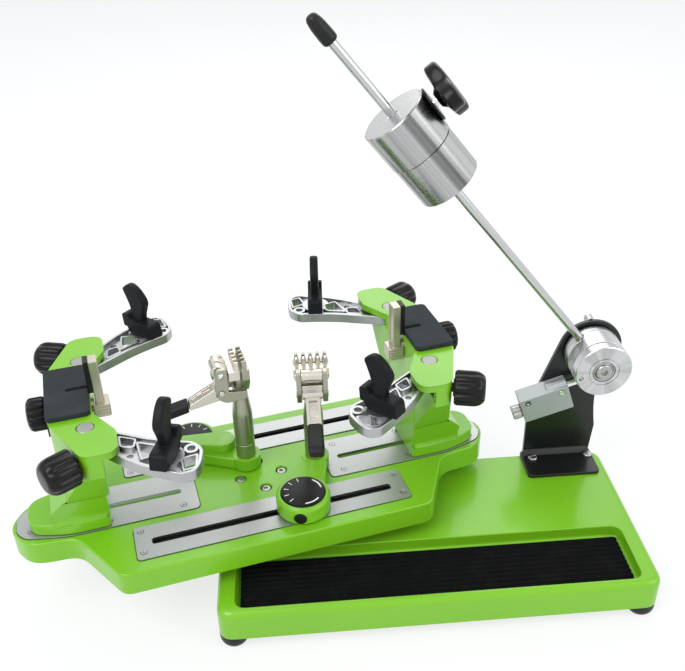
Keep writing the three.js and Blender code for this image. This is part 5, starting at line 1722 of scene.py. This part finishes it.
@dataclass(frozen=True)
class StringClamp:
    """One string clamp on its sliding base, in millimetres."""

    name: str
    spot: Corner
    turn: float
    facing: float
    lobe: bool
    reach: float = 58.0
    slide: float = 81.3
    housing: float = 24.0
    height: float = 16.0
    slab: float = 10.7
    dial: float = 19.5
    head: float = 195.0
    half: float = 15.5
    teeth: int = 5
    pivot_y: float = -18.0
    pivot_z: float = 174.0

    def shoe(self) -> Form:
        """The shoe that runs in the rail."""
        return Form.block(-13, 13, -7.5, 7.5, 72.7, 77.6).join(
            Form.block(-12, 12, -3.4, 3.4, 76.7, 81.1), Form.bar(3.4, 80.3, 90.3))

    def base(self) -> Form:
        """The green base with the dial's seat and the post's boss."""
        z = self.slide
        top = z + self.height
        housing = Form.spun([(self.housing - 0.8, z), (self.housing, z + 0.8), (self.housing, top - 3.4),
                             (self.housing - 0.3, top - 2.1), (self.housing - 1.1, top - 0.8),
                             (self.housing - 2.4, top)], 96)
        slab = Form.plate([(0, -18, 2), (52, -12, 2), (52, 12, 2), (0, 18, 2)], z, z + self.slab, top=0.9)
        boss = Form.bar(13, z, z + self.slab + 1, 72).moved(self.reach)
        seat = Form.bar(self.dial + 0.3, top - 2.4, top + 12, 96)
        stud = Form.bar(3.7, z - 1, z + 10)
        bore = Form.bar(5.3, z + 2, z + self.slab + 3).moved(self.reach)
        plug = Form.bar(6.6, 0, 3, 48).turned(Axis.X, 90).changed(Matrix.Translation((0, 0, z + 5.6)))
        body = housing.join(slab, boss).cut(seat, stud, bore,
                                            plug.moved(0, 1.2 - self.housing, 0).turned(Axis.Z, self.front))
        if not self.lobe:
            return body
        tail = Form.plate([(-14.6, -17.5, 5), (-8.5, -21.3, 4), (-6.6, -20.5, 3), (36.6, -7.5), (32, 3), (27.4, 13.5),
                           (-11.4, -9.5, 4)], z + 1, z + 20, top=1.2, steps=8)
        hump = Form.spun([(11.5, z + 1), (11.5, z + 18.8), (11.1, z + 19.7), (10.3, z + 20)], 80).moved(32, 3)
        swing = Form.bar(self.dial + 0.6, top - 2.4, top + 1.7, 96)
        return body.join(tail.cut(swing), hump)

    def plug(self) -> Form:
        """The dark plug in the front of the housing."""
        body = Form.spun([(6.3, -2.4), (6.3, -0.9), (5.6, -0.5), (3.4, -0.4)], 48).turned(Axis.X, 90)
        return body.moved(0, 0.6 - self.housing, self.slide + 5.6).turned(Axis.Z, self.front)

    @property
    def front(self) -> float:
        """The turn, in degrees, that brings a detail to the machine's front."""
        return -self.turn - 22

    def set_screw(self) -> Form:
        """The small screw in the front of the hump."""
        body = Form.spun([(1.9, 0), (1.9, 1.6), (1.5, 2)], 28).cut(Form.bar(1, 0.8, 3, 6)).turned(Axis.X, 90)
        return body.moved(0, -10, self.slide + 8).turned(Axis.Z, self.front + 8).moved(32, 3)

    def dial_form(self) -> Form:
        """The dial."""
        low = self.slide + self.height - 2.1
        r = self.dial
        return Form.spun([(r, low), (r, low + 2.4), (r - 0.3, low + 3.1), (r - 1, low + 3.4)], 128)

    def comb(self, y0: float, y1: float) -> list[Form]:
        """The teeth on a jaw.

        Args:
            y0: Their front face.
            y1: Their back face.

        Returns:
            One form for each tooth.
        """
        pitch = 2 * self.half / self.teeth
        rows = []
        for i in range(self.teeth):
            mid = -self.half + pitch * (i + 0.5)
            tooth = [(mid - 2.3, self.head - 1), (mid + 2.3, self.head - 1), (mid + 2.1, self.head + 1.5, 1),
                     (mid + 1.0, self.head + 8, 0.8), (mid - 1.0, self.head + 8, 0.8), (mid - 2.1, self.head + 1.5, 1)]
            rows.append(Form.upright(tooth, y0, y1, edge=0.7))
        return rows

    def post(self) -> Form:
        """The tapered post with its cheeks, back plate and fixed jaw."""
        low = self.slide + self.slab + 1.3
        neck = self.pivot_z - 6
        stem = Form.spun([(5, self.slide + 3), (5, low), (8.6, low), (9, low + 0.5), (9, low + 14.2),
                          (8.75, low + 14.5),
                          (8.75, low + 15.3), (9, low + 15.6), (9, neck - 28), (8.6, neck - 24), (7.1, neck - 12),
                          (6.6, neck - 8), (6.6, neck + 12)], 64)
        foot = self.head - 13
        back = Form.upright([(-6, neck, 3), (6, neck, 3), (self.half, foot, 4), (self.half, self.head),
                             (-self.half, self.head), (-self.half, foot, 4)], 0.8, 7.5, edge=0.5)
        cheek = [(4, neck - 4, 2), (4, neck + 4, 2), (-11.5, neck + 6, 2), (-11.5, self.head + 3, 3),
                 (-21.5, self.head + 3, 3), (-23.5, self.pivot_z + 5, 4), (-20.5, neck - 1, 3), (-14.5, neck - 5, 3)]
        wide = self.half - 2
        between = Form.block(4.2 - wide, wide - 4.2, -24.5, -5.6, neck - 6, self.head + 4)
        hole = Form.bar_x(2.8, -self.half, self.half, 36).moved(0, self.pivot_y, self.pivot_z)
        cheeks = Form.section(cheek, -wide, wide, edge=0.5).cut(between, hole)
        return cheeks.join(stem, back, *self.comb(1.4, 5.6))

    def cheek_pins(self) -> Form:
        """The upper pin heads on the cheeks."""
        wide = self.half - 2
        pair = [Form.spun([(2.7, 0), (2.7, 0.5), (2.1, 1.1), (1.2, 1.4)], 36).turned(Axis.Y, 90 * s)
                .moved(s * (wide - 0.1), self.pivot_y + 0.5, self.head - 3.2) for s in (1, -1)]
        return pair[0].join(pair[1])

    def jaw(self) -> Form:
        """The moving jaw with its rounded carrier."""
        inner = self.half - 2 - 4.2 - SEAT
        low = self.head - 10
        plate = Form.upright(rectangle(-self.half, self.half, low + 1, self.head), -10.8, -0.8, edge=0.5)
        carrier = Form.section([(-8, low + 1), (-8, self.head - 1), (-18.5, self.head + 5, 3),
                                (-24.5, self.head + 2, 4),
                                (-24.5, low + 5, 4), (-18.5, low + 1, 2)], -inner, inner, edge=0.5)
        slot = Form.plate(rectangle(-1.3, 1.3, -19.4, -12, 1.2), self.head, self.head + 8)
        return carrier.cut(slot).join(plate, *self.comb(-5.4, -1.2))

    def lever(self) -> Form:
        """The lever about its pin, with its channelled handle."""
        inner = self.half - 2 - 4.2 - SEAT
        rise = self.head - 10 - self.pivot_z - 0.6
        barrel = Form.bar_x(4.6, -inner, inner, 48)
        pin = Form.spun([(2.5, 1.4 - self.half), (2.5, self.half - 1.4)], 36).turned(Axis.Y, 90)
        flap = Form.upright([(-inner + 1.6, -7, 2), (inner - 1.6, -7, 2), (inner, rise), (-inner, rise)],
                            -4.5, 0, edge=0.3)
        slope = Form.section([(-6, -8), (-4.5, -8), (-2.4, rise + 1), (-6, rise + 1)], -inner - 1, inner + 1)
        handle = Form.section([(-3.5, 1.5, 2), (-28.5, -11.5, 1), (-28.5, -16.5, 1), (4, -11, 3)], -6.2, 6.2, edge=0.4)
        groove = Form.section([(-8, 3), (-26, -6), (-26, -12), (-8, -4)], -3.6, 3.6)
        waist = Form.block(-4, 4, -21, -15, -16.5, -4.8)
        tang = Form.section([(-27, -12), (-27, -16), (-50, -20.6), (-50, -17.4)], -3, 3)
        return handle.cut(groove).join(waist.keep(Form.section([(-3.5, 0), (-28.5, -13), (-28.5, -16.5), (4, -11)],
                                                               -6, 6)), barrel, pin, flap.cut(slope), tang)

    def sleeve(self) -> Form:
        """The soft sleeve over the lever's end."""
        outer = Form.section([(-29, -9.6, 1), (-29, -19, 1), (-55, -24.6, 3), (-59.5, -22, 3), (-59.5, -18, 3),
                              (-55, -14.8, 3)], -6.9, 6.9, edge=3.1)
        bore = Form.section([(-28, -11.6), (-28, -16.8), (-50.5, -21.3), (-50.5, -16.8)], -3.4, 3.4)
        nose = [Form.plate(facing([(s * 8, -48), (s * 8, -61), (s * 2.5, -61), (s * 5.4, -57.5)]), -28, -10)
                for s in (1, -1)]
        return outer.cut(bore, *nose)

    def build(self, shop: "Workshop", table: Place) -> None:
        """Builds the whole clamp.

        Args:
            shop: Makes the pieces.
            table: The table's place.
        """
        n = f"{self.name}_clamp"
        seat = table.child(*self.spot)
        shop.piece(f"{n}_rail_shoe", self.shoe(), seat, MILLED, f"{n}_shoe", [f"{n}_shoe"], edge=0.3)
        base = seat.child(0, 0, 0, self.turn)
        shop.piece(f"{n}_body", self.base(), base, GREEN, f"{n}_base", [f"{n}_base"], edge=0.7, turns=3)
        shop.piece(f"{n}_body_plug", self.plug(), base, PLASTIC, f"{n}_base", edge=0)
        if self.lobe:
            shop.piece(f"{n}_set_screw", self.set_screw(), base, BLACK_OXIDE, f"{n}_base", edge=0)
        shop.piece(f"{n}_dial_disc", self.dial_form(), base, DIAL, f"{n}_dial", [f"{n}_dial"], edge=0)
        post = base.child(self.reach, 0, 0, self.facing - self.turn)
        shop.piece(f"{n}_stem", self.post(), post, NICKEL_POST, f"{n}_post", [f"{n}_post"], edge=0.25)
        shop.piece(f"{n}_cheek_pins", self.cheek_pins(), post, CHROME, f"{n}_post", edge=0)
        shop.piece(f"{n}_moving_jaw", self.jaw(), post, NICKEL, f"{n}_jaw", [f"{n}_jaw"], edge=0.25)
        lever = post.child(0, self.pivot_y, self.pivot_z)
        shop.piece(f"{n}_press_lever", self.lever(), lever, NICKEL, f"{n}_lever", [f"{n}_lever"], edge=0.25)
        shop.piece(f"{n}_sleeve", self.sleeve(), lever, RUBBER, f"{n}_lever", [f"{n}_grip"], edge=0.3)


@dataclass(frozen=True)
class Studio:
    """The photographer's camera, floor and soft lights.

    Args:
        origin: The machine's origin in millimetres.
        glow: How much of the floor's white doesn't come from the lamps.
    """

    origin: Vector
    eye: Corner = (39.0, -626.6, 612.3)
    pitch: float = 31.608
    yaw: float = 3.655
    roll: float = -1.436
    focal: float = 869.9
    middle: Corner = (342.5, 335.5)
    size: tuple[int, int] = (685, 671)
    glow: float = 0.75

    def camera(self) -> None:
        """Sets up the camera at the photograph's place."""
        data = bpy.data.cameras.new("camera")
        data.sensor_fit = "HORIZONTAL"
        data.sensor_width = 36.0
        data.lens = self.focal * 36.0 / self.size[0]
        data.shift_x = -(self.middle[0] - self.size[0] / 2) / self.size[0]
        data.shift_y = (self.middle[1] - self.size[1] / 2) / self.size[0]
        data.clip_end = 20.0
        pitch, yaw, roll = (math.radians(v) for v in (self.pitch, self.yaw, self.roll))
        ahead = Vector((math.sin(yaw) * math.cos(pitch), math.cos(yaw) * math.cos(pitch), -math.sin(pitch)))
        right = Vector((math.cos(yaw), -math.sin(yaw), 0.0))
        up = right.cross(ahead)
        side = right * math.cos(roll) + up * math.sin(roll)
        top = up * math.cos(roll) - right * math.sin(roll)
        turn = Matrix((side, top, -ahead)).transposed().to_4x4()
        obj = bpy.data.objects.new("camera", data)
        obj.matrix_world = Matrix.Translation((Vector(self.eye) + self.origin) * MM) @ turn
        bpy.context.scene.collection.objects.link(obj)
        bpy.context.scene.camera = obj

    def floor(self) -> None:
        """Lays a plain white floor that runs far past the view."""
        mesh = bpy.data.meshes.new("floor")
        mesh.from_pydata([(-6, -6, 0), (6, -6, 0), (6, 6, 0), (-6, 6, 0)], [], [(0, 1, 2, 3)])
        obj = bpy.data.objects.new("floor", mesh)
        bpy.context.scene.collection.objects.link(obj)
        graph = Graph("floor_paper")
        graph.put(Base_Color=(0.93, 0.93, 0.93), Roughness=0.9, Specular_IOR_Level=0.1)
        paper, white = Wire(graph, graph.shader.outputs[0]), graph.add("ShaderNodeEmission")
        mix = graph.add("ShaderNodeMixShader", None, {0: self.seen(graph) * self.glow, 1: paper, 2: white})
        graph.feed(graph.output.inputs["Surface"], mix)
        mesh.materials.append(graph.material)

    def seen(self, graph: Graph) -> Wire:
        """One where the eye, a mirror or a clear piece looks at the background.

        Args:
            graph: The graph that asks.

        Returns:
            One for such rays, and zero for all others.
        """
        kinds = [graph.add("ShaderNodeLightPath", out=f"Is {kind} Ray")
                 for kind in ("Camera", "Glossy", "Transmission")]
        return kinds[0] + kinds[1] + kinds[2]

    def lamp(self, name: str, spot: Corner, aim: Corner, width: float, watts: float) -> None:
        """Hangs one soft square lamp.

        Args:
            name: Its name.
            spot: Where it hangs, in metres.
            aim: What it points at, in metres.
            width: Its side in metres.
            watts: Its power.
        """
        data = bpy.data.lights.new(name, "AREA")
        data.energy = watts
        data.size = width
        obj = bpy.data.objects.new(name, data)
        bpy.context.scene.collection.objects.link(obj)
        look = (Vector(aim) - Vector(spot)).to_track_quat("-Z", "Y")
        obj.matrix_world = Matrix.Translation(spot) @ look.to_matrix().to_4x4()

    def world(self) -> None:
        """Sets an even studio sky, plain white to the eye and to mirrors and clear pieces."""
        sky = Sky("studio")
        soft = sky.add("ShaderNodeBackground", None, {"Color": (0.9, 0.95, 1.0), "Strength": 0.7})
        plain = sky.add("ShaderNodeBackground", None, {"Color": (1.0, 1.0, 1.0), "Strength": 1.0})
        mix = sky.add("ShaderNodeMixShader", None, {0: self.seen(sky), 1: soft, 2: plain})
        sky.feed(sky.output.inputs["Surface"], mix)

    def build(self) -> None:
        """Sets up everything round the machine."""
        self.camera()
        self.floor()
        self.world()
        self.lamp("key", (-1.1, -1.0, 1.9), (0.0, 0.0, 0.15), 1.4, 27.5)
        self.lamp("fill", (1.5, -0.9, 1.3), (0.0, 0.0, 0.15), 1.2, 11.0)
        self.lamp("rim", (0.2, 1.5, 1.5), (0.0, 0.0, 0.15), 1.6, 13.0)
        bpy.context.scene.view_settings.view_transform = "Standard"


def joint(name: str) -> dict[str, object]:
    """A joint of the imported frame, by name."""
    return next(j for j in frame["joints"] if j["name"] == name)


def main() -> None:
    """Builds the machine in order, then the studio round it."""
    logging.basicConfig(level=logging.INFO, format="%(name)s: %(message)s")
    x, y, _ = joint("turntable_spin")["pos_m"]
    origin = Vector((x, y, 0.0)) / MM
    along = joint("right_tower_slide")["axis"]
    machine = Place(Matrix.Translation(origin))
    table = machine.child(0, 0, 0, math.degrees(math.atan2(along[1], along[0])))
    shop = Workshop()
    BaseUnit().build(shop, machine)
    TensionUnit().build(shop, machine)
    DropLever().build(shop, machine)
    Turntable().build(shop, table)
    towers = {
        Tower("right", 144.0, 0.0): [SupportArm("front_right", -1, 1.5, 125), SupportArm("rear_right", 1, -2.5, 74)],
        Tower("left", -141.0, 180.0): [SupportArm("front_left", 1, 5, 62), SupportArm("rear_left", -1, 1.7, 128)],
    }
    for tower, arms in towers.items():
        at = tower.build(shop, table)
        for arm in arms:
            arm.build(shop, at, tower.turn, f"{tower.side}_tower")
    StringClamp("front", (26, -RAIL_LANE), 63.8, -13, False).build(shop, table)
    StringClamp("rear", (-54, RAIL_LANE), -39.2, -90, True).build(shop, table)
    Studio(origin).build()
    LOG.info("%d pieces", len(shop.made))
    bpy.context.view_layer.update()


if __name__ == "__main__":
    main()
